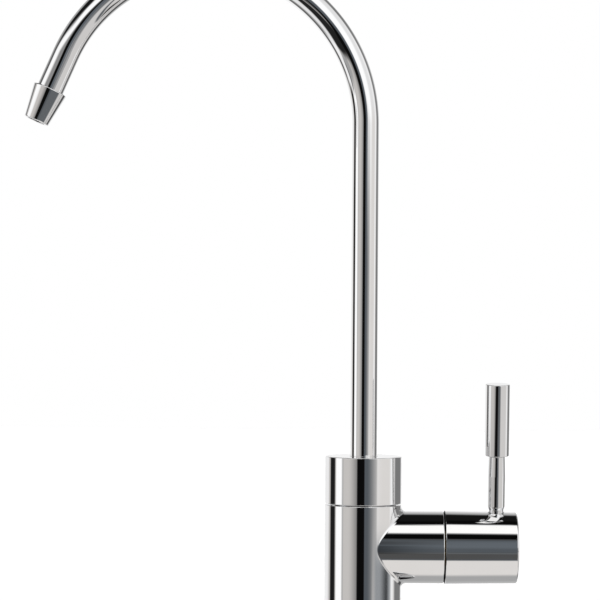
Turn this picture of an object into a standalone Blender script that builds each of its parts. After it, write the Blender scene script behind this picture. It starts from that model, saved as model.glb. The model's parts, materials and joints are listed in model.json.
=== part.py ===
"""Drinking water faucet: swivelling gooseneck spout and a quarter-turn side lever.

Metres, +Z up. The origin is the centre of the plane where the base rests on the worktop.
The spout reaches towards -X, turned a little towards -Y, and the valve barrel points along +X.
"""
from math import acos, cos, pi, radians, sin, sqrt

import bmesh
import bpy
from mathutils import Vector

# Clearances
SEAT_GAP = 0.0003
SEAM_GAP = 0.0004
THREAD_GAP = 0.00025
RUNNING_GAP = 0.00015
SEAL_GAP = 0.00006

# Worktop side
WORKTOP_THICKNESS = 0.012
GASKET_HOLE_RADIUS = 0.0095
GASKET_THICKNESS = 0.0015
FLANGE_RADIUS = 0.0225
FLANGE_SKIRT = 0.0017
FLANGE_LIFT = 0.0005
FLANGE_THICKNESS = 0.0058
FLANGE_EDGE_RADIUS = 0.0018
FLANGE_SEAT_DEPTH = 0.0012

# Body, a casting turned outside
BODY_RADIUS = 0.0155
BARREL_HEIGHT = 0.050
EDGE_BEVEL = 0.00025
COLLAR_WALL = 0.0025
NECK_HEIGHT = 0.0123
SPOUT_SOCKET_DEPTH = 0.0150
LEAD_IN = 0.0005

# Valve barrel on the body's side; it is a little slimmer than the body
BARREL_STEP_IN = 0.00095
BARREL_REACH = 0.0324
BARREL_FILLET = 0.0018
FILLET_SINK = 0.00006
SEAM_MARGIN = 0.00085
CHAMBER_FLOOR = 0.0025
CHAMBER_DEPTH = 0.0185
CHAMBER_ANNULUS = 0.0006
MOUTH_STEP = 0.0009

# Waterways in the body
RISER_RADIUS = 0.0032
RISER_BEHIND_FLOOR = 0.0053
OUTLET_WAY_RADIUS = 0.0025
OUTLET_WAY_BEFORE_FLOOR = 0.0027

# Threaded shank and what clamps the worktop
SHANK_RADIUS = 0.0060
SHANK_WALL = 0.0026
SHANK_DROP = 0.0550
SHANK_SOCKET_DEPTH = 0.0112
SHANK_BEVEL = 0.0008
DECK_WASHER_WIDTH = 0.0082
DECK_WASHER_THICKNESS = 0.0025
PLATE_WASHER_WIDTH = 0.0067
PLATE_WASHER_THICKNESS = 0.0015
LOCK_WASHER_WIDTH = 0.0030
LOCK_WASHER_THICKNESS = 0.0018
LOCK_WASHER_CUT = 0.0012
NUT_ACROSS_FLATS = 0.0190
NUT_HEIGHT = 0.0080

# Spout
TUBE_RADIUS = 0.0054
TUBE_WALL = 0.0010
TUBE_RISE = 0.1342
BEND_RADIUS = 0.0632
BEND_SWEEP = radians(156.4)
SPOUT_TURN = radians(8.0)
LEG_LENGTH = 0.0149
COLLAR_TOP_WALL = 0.0032
COLLAR_HOLE_BEVEL = 0.0005
SLIP_RING_THICKNESS = 0.0014
TAILPIECE_WALL = 0.0012
TAILPIECE_FOOT_GAP = 0.0016
TAILPIECE_FLANGE_INSET = 0.0012
TAILPIECE_FLANGE_THICKNESS = 0.0016
TAILPIECE_TUBE_DEPTH = 0.0095
GROOVE_DEPTH = 0.0015
GROOVE_WIDTH = 0.0021
LOWER_GROOVE_HEIGHT = 0.0013
UPPER_GROOVE_HEIGHT = 0.0060

# Outlet nozzle on the tube's free end
NOZZLE_STEP = 0.0016
NOZZLE_TAPER = 0.0019
NOZZLE_LENGTH = 0.0137
NOZZLE_TUBE_DEPTH = 0.0070
NOZZLE_LEDGE = 0.0014
NOZZLE_LEDGE_WIDTH = 0.0009
NOZZLE_BEVEL = 0.0004
STRAIGHTENER_THICKNESS = 0.0024
STRAIGHTENER_HOLE_RADIUS = 0.0008
STRAIGHTENER_HOLE_CIRCLE = 0.0022
STRAIGHTENER_HOLES_AROUND = 6

# Handle, turned about the barrel's axis
HANDLE_TILT = radians(5.5)
KNOB_OVERHANG = 0.00017
KNOB_TAPER = 0.00037
KNOB_LENGTH = 0.0292
KNOB_EDGE_RADIUS = 0.0007
KNOB_CAVITY_MARGIN = 0.0007
KNOB_CAVITY_DEPTH = 0.0082
KNOB_END_WALL = 0.0045
LEVER_FROM_KNOB_END = 0.00845
LEVER_RADIUS = 0.00345
LEVER_WAIST_STEP = 0.0002
LEVER_WAIST_LENGTH = 0.0080
LEVER_NECK_STEP = 0.00045
LEVER_NECK_RISE = 0.0008
LEVER_NECK_TAPER = 0.0012
LEVER_SCREW_STEP = 0.0002
LEVER_SCREW_COVER = 0.0015
LEVER_TENON_STEP = 0.00075
SLEEVE_WALL = 0.00195
SLEEVE_BOTTOM = 0.0375
SLEEVE_LENGTH = 0.0290
SLEEVE_BEVEL = 0.0003
SLEEVE_TOP_WALL = 0.0040

# Ceramic cartridge in the barrel
SEAT_SEAL_WIDTH = 0.0013
SEAT_SEAL_INSET = 0.0001
SEAT_SEAL_THICKNESS = 0.0022
DISC_RADIUS = 0.0070
DISC_THICKNESS = 0.0030
DISC_GAP = 0.0002
DISC_EAR_REACH = 0.0010
DISC_EAR_WIDTH = 0.0030
WINDOW_INNER = 0.0026
WINDOW_RIM = 0.0017
WINDOW_HALF_ANGLE = radians(36.0)
DRIVE_SLOT_WIDTH = 0.0026
DRIVE_SLOT_DEPTH = 0.0015
DRIVE_SLOT_LENGTH = 0.0105
SPINDLE_FLANGE_INSET = 0.0010
SPINDLE_FLANGE_THICKNESS = 0.0020
SPINDLE_RADIUS = 0.0040
SPINDLE_DRIVE_STEP = 0.0002
SPINDLE_FLAT_DEPTH = 0.0007
CIRCLIP_WIDTH = 0.0026
CIRCLIP_THICKNESS = 0.0009
CIRCLIP_GROOVE_DEPTH = 0.0007
CIRCLIP_OPENING = radians(70.0)
THRUST_RING_THICKNESS = 0.0010
HOUSING_SKIRT_WALL = 0.0010
HOUSING_SKIRT_LENGTH = 0.0105
HOUSING_SEAL_FROM_STEP = 0.0050
SPINDLE_SEAL_FROM_STEP = 0.0020
HOUSING_FLANGE_THICKNESS = 0.0020
HOUSING_NECK_WALL = 0.0026
HOUSING_NECK_PROUD = 0.0021
HOUSING_WINDOW_WIDTH = 0.0062
GLAND_HEX_STEP = 0.0004
GLAND_HEX_LENGTH = 0.0052

# How finely round forms are cut into facets
LARGE_SIDES = 40
MEDIUM_SIDES = 28
SMALL_SIDES = 20
SEAL_SIDES = 6
BEND_STEPS = 24
FILLET_STEPS = 4
CORNER_STEPS = 3
WELD = 1e-7
SHARP_ANGLE = radians(30.0)

# Base and body, worked out from the sizes above
flange_top = FLANGE_LIFT + FLANGE_THICKNESS
flange_seat = flange_top - FLANGE_SEAT_DEPTH
flange_hole_radius = SHANK_RADIUS + SEAT_GAP
gasket_radius = FLANGE_RADIUS - FLANGE_SKIRT - SEAT_GAP
washer_bore_radius = SHANK_RADIUS + SEAT_GAP
body_bottom = flange_seat + SEAT_GAP
barrel_radius = BODY_RADIUS - BARREL_STEP_IN
body_top = BARREL_HEIGHT + barrel_radius + BARREL_FILLET + SEAM_MARGIN
shank_ceiling = body_bottom + SHANK_SOCKET_DEPTH
shank_top = shank_ceiling - SEAT_GAP

# Spout joint
tube_hole_radius = TUBE_RADIUS + RUNNING_GAP
tube_bore_radius = TUBE_RADIUS - TUBE_WALL
tailpiece_radius = tube_hole_radius + TAILPIECE_WALL + GROOVE_DEPTH
spout_socket_radius = tailpiece_radius + RUNNING_GAP
neck_radius = BODY_RADIUS - COLLAR_WALL
neck_top = body_top + NECK_HEIGHT
spout_socket_floor = neck_top - SPOUT_SOCKET_DEPTH
tailpiece_bottom = spout_socket_floor + TAILPIECE_FOOT_GAP
tailpiece_shoulder = neck_top + SEAT_GAP
tailpiece_top = tailpiece_shoulder + TAILPIECE_FLANGE_THICKNESS
tailpiece_flange_radius = neck_radius - TAILPIECE_FLANGE_INSET
tube_seat = tailpiece_top - TAILPIECE_TUBE_DEPTH
tube_bottom = tube_seat + SEAT_GAP
slip_ring_bottom = tailpiece_top + SEAT_GAP
slip_ring_top = slip_ring_bottom + SLIP_RING_THICKNESS
collar_bottom = body_top + SEAM_GAP
collar_ceiling = slip_ring_top + SEAT_GAP
collar_top = collar_ceiling + COLLAR_TOP_WALL
bend_height = collar_top + TUBE_RISE
nozzle_top_radius = TUBE_RADIUS + NOZZLE_STEP
nozzle_tip_radius = nozzle_top_radius - NOZZLE_TAPER
straightener_room = tube_bore_radius + RUNNING_GAP
nozzle_mouth_radius = straightener_room - NOZZLE_LEDGE_WIDTH
straightener_radius = straightener_room - SEAT_GAP

# Cartridge, placed from the floor of its chamber outwards
chamber_step = CHAMBER_FLOOR + CHAMBER_DEPTH
housing_bore_radius = DISC_RADIUS + SEAT_GAP
skirt_radius = housing_bore_radius + HOUSING_SKIRT_WALL
chamber_radius = skirt_radius + CHAMBER_ANNULUS
housing_radius = chamber_radius - THREAD_GAP
mouth_radius = chamber_radius + MOUTH_STEP
riser_offset = CHAMBER_FLOOR - RISER_BEHIND_FLOOR
outlet_way_offset = CHAMBER_FLOOR + OUTLET_WAY_BEFORE_FLOOR
seat_seal_base = CHAMBER_FLOOR + SEAT_GAP
fixed_disc_base = seat_seal_base + SEAT_SEAL_THICKNESS + SEAT_GAP
fixed_disc_top = fixed_disc_base + DISC_THICKNESS
moving_disc_base = fixed_disc_top + DISC_GAP
moving_disc_top = moving_disc_base + DISC_THICKNESS
spindle_base = moving_disc_top + SEAT_GAP
spindle_flange_top = spindle_base + SPINDLE_FLANGE_THICKNESS
thrust_ring_base = spindle_flange_top + SEAT_GAP
housing_shoulder = thrust_ring_base + THRUST_RING_THICKNESS + SEAT_GAP
housing_base = CHAMBER_FLOOR + SEAT_GAP
housing_flange_base = chamber_step + SEAT_GAP
housing_neck_base = housing_flange_base + HOUSING_FLANGE_THICKNESS
housing_end = BARREL_REACH + HOUSING_NECK_PROUD
spindle_bore_radius = SPINDLE_RADIUS + RUNNING_GAP
housing_neck_radius = spindle_bore_radius + HOUSING_NECK_WALL
spindle_drive_radius = SPINDLE_RADIUS - SPINDLE_DRIVE_STEP
spindle_flat = spindle_drive_radius - SPINDLE_FLAT_DEPTH
spindle_seal_base = chamber_step - SPINDLE_SEAL_FROM_STEP
housing_seal_base = chamber_step - HOUSING_SEAL_FROM_STEP
circlip_base = housing_end + SEAT_GAP
gland_base = housing_neck_base + SEAT_GAP
gland_hex_base = BARREL_REACH - SEAT_GAP
gland_thread_radius = mouth_radius - THREAD_GAP
gland_bore_radius = housing_neck_radius + THREAD_GAP

# Knob and lever
knob_base = BARREL_REACH + SEAM_GAP
knob_end = knob_base + KNOB_LENGTH
knob_hub_base = knob_base + KNOB_CAVITY_DEPTH
knob_bore_floor = knob_end - KNOB_END_WALL
knob_seam_radius = barrel_radius + KNOB_OVERHANG
knob_end_radius = knob_seam_radius - KNOB_TAPER
knob_cavity_radius = mouth_radius + KNOB_CAVITY_MARGIN
spindle_end = knob_bore_floor - SEAT_GAP
lever_position = knob_end - LEVER_FROM_KNOB_END
lever_neck_radius = LEVER_RADIUS - LEVER_NECK_STEP
lever_screw_radius = lever_neck_radius - LEVER_SCREW_STEP
lever_neck_top = knob_seam_radius + LEVER_NECK_RISE
lever_screw_top = knob_seam_radius - LEVER_SCREW_COVER
lever_tenon_radius = LEVER_RADIUS - LEVER_TENON_STEP
sleeve_bore_radius = lever_tenon_radius + THREAD_GAP
sleeve_radius = sleeve_bore_radius + SLEEVE_WALL
sleeve_top = SLEEVE_BOTTOM + SLEEVE_LENGTH
sleeve_ceiling = sleeve_top - SLEEVE_TOP_WALL

ALONG_BARREL = (pi, -pi / 2, 0.0)


def clear_scene():
    """Remove what the scene holds before the model is made."""
    for thing in list(bpy.data.objects):
        bpy.data.objects.remove(thing, do_unlink=True)


def surface(name, colour, roughness, metallic=1.0):
    """One Principled material."""
    material = bpy.data.materials.new(name)
    material.use_nodes = True
    shader = material.node_tree.nodes["Principled BSDF"]
    shader.inputs["Base Color"].default_value = (*colour, 1.0)
    shader.inputs["Roughness"].default_value = roughness
    shader.inputs["Metallic"].default_value = metallic
    return material


def empty(name, location, tilt=0.0, turn=0.0):
    """A pivot that moving pieces hang from, tilted about X or turned about Z."""
    pivot = bpy.data.objects.new(name, None)
    pivot.location = location
    pivot.rotation_euler = (tilt, 0.0, turn)
    bpy.context.collection.objects.link(pivot)
    return pivot


def finish_object(name, mesh, material, parent=None, location=(0.0, 0.0, 0.0), rotation=(0.0, 0.0, 0.0)):
    """Turn a bmesh into a named, smoothly shaded object."""
    bmesh.ops.remove_doubles(mesh, verts=mesh.verts, dist=WELD)
    bmesh.ops.recalc_face_normals(mesh, faces=mesh.faces)
    data = bpy.data.meshes.new(name)
    mesh.to_mesh(data)
    mesh.free()
    data.shade_smooth()
    data.set_sharp_from_angle(angle=SHARP_ANGLE)
    if material:
        data.materials.append(material)
    piece = bpy.data.objects.new(name, data)
    piece.parent = parent
    piece.location = location
    piece.rotation_euler = rotation
    bpy.context.collection.objects.link(piece)
    return piece


def turned_mesh(outline, sides):
    """Spin an outline of (radius, height) points about Z; points on the axis close it."""
    mesh = bmesh.new()
    points = []
    for point in outline:
        if not points or (Vector(point) - Vector(points[-1])).length > WELD:
            points.append(point)
    corners = [mesh.verts.new((radius, 0.0, height)) for radius, height in points]
    edges = []
    for index, corner in enumerate(corners):
        following = corners[(index + 1) % len(corners)]
        if corner.co.x > WELD or following.co.x > WELD:
            edges.append(mesh.edges.new((corner, following)))
    bmesh.ops.spin(
        mesh,
        geom=corners + edges,
        axis=(0.0, 0.0, 1.0),
        cent=(0.0, 0.0, 0.0),
        angle=2 * pi,
        steps=sides,
        use_merge=True,
    )
    return mesh


def turned(name, outline, material, sides=MEDIUM_SIDES, **placing):
    """A turned piece."""
    return finish_object(name, turned_mesh(outline, sides), material, **placing)


def prism(name, outline, low, high, material, **placing):
    """A closed outline in local XY, extruded from low to high along local Z."""
    mesh = bmesh.new()
    corners = [mesh.verts.new((x, y, low)) for x, y in outline]
    foot = mesh.faces.new(corners)
    grown = bmesh.ops.extrude_face_region(mesh, geom=[foot])
    top = [item for item in grown["geom"] if isinstance(item, bmesh.types.BMVert)]
    bmesh.ops.translate(mesh, verts=top, vec=(0.0, 0.0, high - low))
    return finish_object(name, mesh, material, **placing)


def block(name, lower, upper, **placing):
    """A rectangular cutter or lug between two corners."""
    outline = [(lower[0], lower[1]), (upper[0], lower[1]), (upper[0], upper[1]), (lower[0], upper[1])]
    return prism(name, outline, lower[2], upper[2], None, **placing)


def combine(piece, tool, operation):
    """Add a Boolean with a hidden helper object."""
    tool.hide_render = True
    tool.display_type = "WIRE"
    step = piece.modifiers.new(tool.name, "BOOLEAN")
    step.operation = operation
    step.solver = "EXACT"
    step.object = tool


def cut(piece, tool):
    combine(piece, tool, "DIFFERENCE")


def join(piece, tool):
    combine(piece, tool, "UNION")


def arc(centre, radius, start, end, steps):
    """Points on a circle from one angle to another, both ends included."""
    points = []
    for step in range(steps + 1):
        angle = start + (end - start) * step / steps
        points.append((centre[0] + radius * cos(angle), centre[1] + radius * sin(angle)))
    return points


def circle(radius, sides, centre=(0.0, 0.0)):
    """Corners of a full circle."""
    return arc(centre, radius, 0.0, 2 * pi * (1 - 1 / sides), sides - 1)


def plain_disc(name, radius, low, high, material, sides=SMALL_SIDES, centre=(0.0, 0.0), **placing):
    """A solid round blank or cutter along its local Z."""
    return prism(name, circle(radius, sides, centre), low, high, material, **placing)


def ring_outline(inner, outer, low, high, bevel=0.0):
    """Section of a ring whose two outer corners are bevelled."""
    return [
        (inner, low),
        (outer - bevel, low),
        (outer, low + bevel),
        (outer, high - bevel),
        (outer - bevel, high),
        (inner, high),
    ]


def groove_outline(radius, low):
    """The part of an outline that steps into a seal groove and out again."""
    floor = radius - GROOVE_DEPTH
    high = low + GROOVE_WIDTH
    return [(radius, low), (floor, low), (floor, high), (radius, high)]


def seal_ring(name, shaft_radius, bore_radius, groove_low, **placing):
    """A round-section seal between the floor of a shaft's groove and the bore around it."""
    floor = shaft_radius - GROOVE_DEPTH
    bore = bore_radius * cos(pi / MEDIUM_SIDES)
    section = (bore - floor) / 2 - SEAL_GAP
    centre = ((bore + floor) / 2, groove_low + GROOVE_WIDTH / 2)
    return turned(name, circle(section, SEAL_SIDES, centre), rubber, MEDIUM_SIDES, **placing)


def hexagon(corner_radius):
    """Corners of a hexagon."""
    return arc((0.0, 0.0), corner_radius, pi / 6, pi / 6 + 5 * pi / 3, 5)


def sector(inner, outer, middle, half_angle):
    """Outline of a slice of a ring."""
    outside = arc((0.0, 0.0), outer, middle - half_angle, middle + half_angle, CORNER_STEPS + 2)
    inside = arc((0.0, 0.0), inner, middle + half_angle, middle - half_angle, CORNER_STEPS)
    return outside + inside


def open_ring(inner, outer, half_opening):
    """Outline of a flat ring with a gap centred on local +X."""
    outside = arc((0.0, 0.0), outer, half_opening, 2 * pi - half_opening, SMALL_SIDES)
    inside = arc((0.0, 0.0), inner, 2 * pi - half_opening, half_opening, SMALL_SIDES)
    return outside + inside


def d_outline(radius, flat):
    """A circle with a flat on its +X side."""
    start = acos(flat / radius)
    return arc((0.0, 0.0), radius, start, 2 * pi - start, SMALL_SIDES)


def bridge(mesh, lower, upper):
    """Quads between two rings of as many corners."""
    count = len(lower)
    for side in range(count):
        following = (side + 1) % count
        mesh.faces.new((lower[side], lower[following], upper[following], upper[side]))


def barrel_line(angle):
    """One lengthwise line of the barrel's outside, from its mouth to inside the body.

    A ball of the fillet's radius rolls along both cylinders; its centre gives both contacts.
    """
    across = cos(angle)
    upward = sin(angle)
    rim = barrel_radius - EDGE_BEVEL
    centre_y = (barrel_radius + BARREL_FILLET) * across
    centre_z = (barrel_radius + BARREL_FILLET) * upward
    centre_x = sqrt((BODY_RADIUS + BARREL_FILLET) ** 2 - centre_y**2)
    centre = Vector((centre_x, centre_y, centre_z))
    on_barrel = Vector((centre_x, barrel_radius * across, barrel_radius * upward))
    shrink = (BODY_RADIUS - FILLET_SINK) / (BODY_RADIUS + BARREL_FILLET)
    on_body = Vector((centre_x * shrink, centre_y * shrink, centre_z))
    from_ball = (on_barrel - centre).normalized()
    to_ball = (on_body - centre).normalized()
    line = [
        Vector((BARREL_REACH, rim * across, rim * upward)),
        Vector((BARREL_REACH - EDGE_BEVEL, barrel_radius * across, barrel_radius * upward)),
    ]
    for step in range(FILLET_STEPS):
        line.append(centre + BARREL_FILLET * from_ball.slerp(to_ball, step / FILLET_STEPS))
    line.append(on_body)
    line.append(Vector((0.0, barrel_radius / 2 * across, barrel_radius / 2 * upward)))
    return line


def barrel_mesh():
    """The barrel's outside with its fillet, closed at the mouth and inside the body."""
    mesh = bmesh.new()
    lines = [barrel_line(2 * pi * side / LARGE_SIDES) for side in range(LARGE_SIDES)]
    rings = [[mesh.verts.new(point) for point in ring] for ring in zip(*lines)]
    for ring, following in zip(rings, rings[1:]):
        bridge(mesh, ring, following)
    mesh.faces.new(rings[0])
    mesh.faces.new(rings[-1])
    return mesh


def make_body():
    """The body: a round column with a threaded neck, a side barrel and drilled waterways."""
    outline = [
        (0.0, body_bottom),
        (BODY_RADIUS - EDGE_BEVEL, body_bottom),
        (BODY_RADIUS, body_bottom + EDGE_BEVEL),
        (BODY_RADIUS, body_top - EDGE_BEVEL),
        (BODY_RADIUS - EDGE_BEVEL, body_top),
        (neck_radius, body_top),
        (neck_radius, neck_top - LEAD_IN),
        (neck_radius - LEAD_IN, neck_top),
        (0.0, neck_top),
    ]
    body = turned("faucet_body", outline, chrome, LARGE_SIDES)
    axis = (0.0, 0.0, BARREL_HEIGHT)
    along = {"location": axis, "rotation": ALONG_BARREL}
    join(body, finish_object("barrel_form", barrel_mesh(), None, location=axis))

    socket = [
        (0.0, spout_socket_floor),
        (spout_socket_radius, spout_socket_floor),
        (spout_socket_radius, neck_top - LEAD_IN),
        (spout_socket_radius + 2 * LEAD_IN, neck_top + LEAD_IN),
        (0.0, neck_top + LEAD_IN),
    ]
    cut(body, turned("spout_socket", socket, None, MEDIUM_SIDES))
    chamber = [
        (0.0, CHAMBER_FLOOR),
        (chamber_radius, CHAMBER_FLOOR),
        (chamber_radius, chamber_step),
        (mouth_radius, chamber_step),
        (mouth_radius, BARREL_REACH + LEAD_IN),
        (0.0, BARREL_REACH + LEAD_IN),
    ]
    cut(body, turned("cartridge_chamber", chamber, None, MEDIUM_SIDES, **along))
    shank_hole = SHANK_RADIUS + THREAD_GAP
    cut(body, plain_disc("shank_socket", shank_hole, body_bottom - LEAD_IN, shank_ceiling, None))
    riser = plain_disc("inlet_riser", RISER_RADIUS, shank_ceiling - LEAD_IN, BARREL_HEIGHT, None)
    riser.location.x = riser_offset
    cut(body, riser)
    port_radius = RISER_RADIUS - SEAL_GAP
    cut(body, plain_disc("seat_port", port_radius, riser_offset, CHAMBER_FLOOR + LEAD_IN, None, **along))
    way = plain_disc("outlet_way", OUTLET_WAY_RADIUS, BARREL_HEIGHT, spout_socket_floor + LEAD_IN, None)
    way.location.x = outlet_way_offset
    cut(body, way)


def make_base():
    """Flange, gasket, shank and the fastenings that clamp the worktop from below."""
    gasket_room = GASKET_THICKNESS + SEAT_GAP
    seat_radius = BODY_RADIUS + SEAT_GAP
    edge = (FLANGE_RADIUS - FLANGE_EDGE_RADIUS, flange_top - FLANGE_EDGE_RADIUS)
    flange = [
        (flange_hole_radius, gasket_room),
        (gasket_radius + SEAT_GAP, gasket_room),
        (gasket_radius + SEAT_GAP, FLANGE_LIFT),
        (FLANGE_RADIUS, FLANGE_LIFT),
        *arc(edge, FLANGE_EDGE_RADIUS, 0.0, pi / 2, CORNER_STEPS),
        (seat_radius, flange_top),
        (seat_radius, flange_seat),
        (flange_hole_radius, flange_seat),
    ]
    turned("base_flange", flange, chrome, LARGE_SIDES)
    gasket = ring_outline(GASKET_HOLE_RADIUS, gasket_radius, 0.0, GASKET_THICKNESS)
    turned("base_gasket", gasket, rubber, LARGE_SIDES)
    bore = SHANK_RADIUS - SHANK_WALL
    shank = ring_outline(bore, SHANK_RADIUS, -SHANK_DROP, shank_top, SHANK_BEVEL)
    turned("threaded_shank", shank, brass, SMALL_SIDES)

    high = -WORKTOP_THICKNESS
    washers = (
        ("deck_washer", DECK_WASHER_WIDTH, DECK_WASHER_THICKNESS, rubber),
        ("plate_washer", PLATE_WASHER_WIDTH, PLATE_WASHER_THICKNESS, steel),
    )
    for name, width, thickness, material in washers:
        outline = ring_outline(washer_bore_radius, washer_bore_radius + width, high - thickness, high)
        turned(name, outline, material)
        high -= thickness + SEAT_GAP
    half_opening = LOCK_WASHER_CUT / 2 / washer_bore_radius
    outline = open_ring(washer_bore_radius, washer_bore_radius + LOCK_WASHER_WIDTH, half_opening)
    prism("lock_washer", outline, high - LOCK_WASHER_THICKNESS, high, steel)
    make_nut(high - LOCK_WASHER_THICKNESS - SEAT_GAP)


def make_nut(high):
    """Hexagonal nut below the lock washer, its corners turned off at both faces."""
    corner = NUT_ACROSS_FLATS / 2 / cos(pi / 6)
    turned_off = corner - NUT_ACROSS_FLATS / 2
    low = high - NUT_HEIGHT
    blank = ring_outline(SHANK_RADIUS + THREAD_GAP, corner, low, high, turned_off)
    nut = turned("mounting_nut", blank, brass, SMALL_SIDES)
    flats = prism("nut_hexagon", hexagon(corner), low - LEAD_IN, high + LEAD_IN, None)
    combine(nut, flats, "INTERSECT")


def tube_stations():
    """Centres of the tube and its turn: straight rise, one bend, short straight leg."""
    bend_centre = Vector((-BEND_RADIUS, 0.0, bend_height))
    stations = [(Vector((0.0, 0.0, tube_bottom)), 0.0)]
    for step in range(BEND_STEPS + 1):
        turn = BEND_SWEEP * step / BEND_STEPS
        outward = Vector((cos(turn), 0.0, sin(turn)))
        stations.append((bend_centre + BEND_RADIUS * outward, turn))
    leg = Vector((-sin(BEND_SWEEP), 0.0, cos(BEND_SWEEP)))
    stations.append((stations[-1][0] + leg * (LEG_LENGTH + NOZZLE_TUBE_DEPTH), BEND_SWEEP))
    return stations


def make_tube(pivot):
    """The bent tube, an outer and an inner skin joined at both cut ends."""
    mesh = bmesh.new()
    skins = []
    for radius in (TUBE_RADIUS, tube_bore_radius):
        rings = []
        for centre, turn in tube_stations():
            outward = Vector((cos(turn), 0.0, sin(turn)))
            sideways = Vector((0.0, 1.0, 0.0))
            section = circle(radius, SMALL_SIDES)
            rings.append([mesh.verts.new(centre + x * outward + y * sideways) for x, y in section])
        for lower, upper in zip(rings, rings[1:]):
            bridge(mesh, lower, upper)
        skins.append(rings)
    for end in (0, -1):
        bridge(mesh, skins[0][end], skins[1][end])
    finish_object("spout_tube", mesh, chrome, parent=pivot)


def make_spout_joint(pivot):
    """Tailpiece with its two seals, the slip ring over it and the collar that holds it down."""
    lower_groove = tailpiece_bottom + LOWER_GROOVE_HEIGHT
    upper_groove = tailpiece_bottom + UPPER_GROOVE_HEIGHT
    tailpiece = [
        (tailpiece_radius - LEAD_IN, tailpiece_bottom),
        (tailpiece_radius, tailpiece_bottom + LEAD_IN),
        *groove_outline(tailpiece_radius, lower_groove),
        *groove_outline(tailpiece_radius, upper_groove),
        (tailpiece_radius, tailpiece_shoulder),
        (tailpiece_flange_radius, tailpiece_shoulder),
        (tailpiece_flange_radius, tailpiece_top),
        (tube_hole_radius, tailpiece_top),
        (tube_hole_radius, tube_seat),
        (tube_bore_radius, tube_seat),
        (tube_bore_radius, tailpiece_bottom),
    ]
    turned("spout_tailpiece", tailpiece, brass, parent=pivot)
    seal_ring("spout_o_ring_lower", tailpiece_radius, spout_socket_radius, lower_groove, parent=pivot)
    seal_ring("spout_o_ring_upper", tailpiece_radius, spout_socket_radius, upper_groove, parent=pivot)

    slip_outer = neck_radius - SEAT_GAP
    slip = ring_outline(TUBE_RADIUS + SEAT_GAP, slip_outer, slip_ring_bottom, slip_ring_top)
    turned("slip_ring", slip, plastic)

    hole = TUBE_RADIUS + THREAD_GAP
    thread = neck_radius + THREAD_GAP
    collar = [
        (thread, collar_bottom),
        (BODY_RADIUS - EDGE_BEVEL, collar_bottom),
        (BODY_RADIUS, collar_bottom + EDGE_BEVEL),
        (BODY_RADIUS, collar_top - EDGE_BEVEL),
        (BODY_RADIUS - EDGE_BEVEL, collar_top),
        (hole + COLLAR_HOLE_BEVEL, collar_top),
        (hole, collar_top - COLLAR_HOLE_BEVEL),
        (hole, collar_ceiling),
        (thread, collar_ceiling),
    ]
    turned("spout_collar", collar, chrome, LARGE_SIDES)


def make_nozzle(pivot):
    """Conical outlet over the tube's end, with the flow straightener on its inner ledge."""
    tube_end, turn = tube_stations()[-1]
    leg = Vector((-sin(turn), 0.0, cos(turn)))
    placing = {"parent": pivot, "location": tube_end - leg * NOZZLE_TUBE_DEPTH, "rotation": (0.0, -turn, 0.0)}
    slope = NOZZLE_TAPER / NOZZLE_LENGTH
    ledge = NOZZLE_LENGTH - NOZZLE_LEDGE
    tube_stop = NOZZLE_TUBE_DEPTH + SEAT_GAP
    nozzle = [
        (tube_hole_radius, 0.0),
        (nozzle_top_radius - NOZZLE_BEVEL, 0.0),
        (nozzle_top_radius - slope * NOZZLE_BEVEL, NOZZLE_BEVEL),
        (nozzle_tip_radius + slope * NOZZLE_BEVEL, NOZZLE_LENGTH - NOZZLE_BEVEL),
        (nozzle_tip_radius - NOZZLE_BEVEL, NOZZLE_LENGTH),
        (nozzle_mouth_radius, NOZZLE_LENGTH),
        (nozzle_mouth_radius, ledge),
        (straightener_room, ledge),
        (straightener_room, tube_stop),
        (tube_hole_radius, tube_stop),
    ]
    turned("outlet_nozzle", nozzle, chrome, MEDIUM_SIDES, **placing)

    high = ledge - SEAT_GAP
    low = high - STRAIGHTENER_THICKNESS
    disc = plain_disc("flow_straightener", straightener_radius, low, high, plastic, **placing)
    ends = (low - LEAD_IN, high + LEAD_IN)
    places = [(0.0, 0.0), *circle(STRAIGHTENER_HOLE_CIRCLE, STRAIGHTENER_HOLES_AROUND)]
    for index, place in enumerate(places):
        name = f"straightener_hole_{index}"
        hole = plain_disc(name, STRAIGHTENER_HOLE_RADIUS, *ends, None, SEAL_SIDES, place, **placing)
        cut(disc, hole)


def make_knob(pivot, upright):
    """Knob: hollow over the gland nut, flatted bore for the spindle, threaded hole for the lever."""
    along = {"parent": pivot, "rotation": ALONG_BARREL}
    edge = (knob_end_radius - KNOB_EDGE_RADIUS, knob_end - KNOB_EDGE_RADIUS)
    outline = [
        (0.0, knob_hub_base),
        (knob_cavity_radius, knob_hub_base),
        (knob_cavity_radius, knob_base),
        (knob_seam_radius - EDGE_BEVEL, knob_base),
        (knob_seam_radius, knob_base + EDGE_BEVEL),
        *arc(edge, KNOB_EDGE_RADIUS, 0.0, pi / 2, CORNER_STEPS),
        (0.0, knob_end),
    ]
    knob = turned("handle_knob", outline, chrome, LARGE_SIDES, **along)
    bore = d_outline(spindle_drive_radius + RUNNING_GAP, spindle_flat + RUNNING_GAP)
    cut(knob, prism("knob_bore", bore, knob_hub_base - LEAD_IN, knob_bore_floor, None, **along))
    screw_hole = lever_screw_radius + THREAD_GAP
    neck_hole = lever_neck_radius + THREAD_GAP
    hole_step = lever_screw_top - SEAT_GAP
    outside = knob_seam_radius + LEAD_IN
    lever_hole = [
        (0.0, spindle_flat),
        (screw_hole, spindle_flat),
        (screw_hole, hole_step),
        (neck_hole, hole_step),
        (neck_hole, outside),
        (0.0, outside),
    ]
    cut(knob, turned("lever_hole", lever_hole, None, SMALL_SIDES, **upright))


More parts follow.
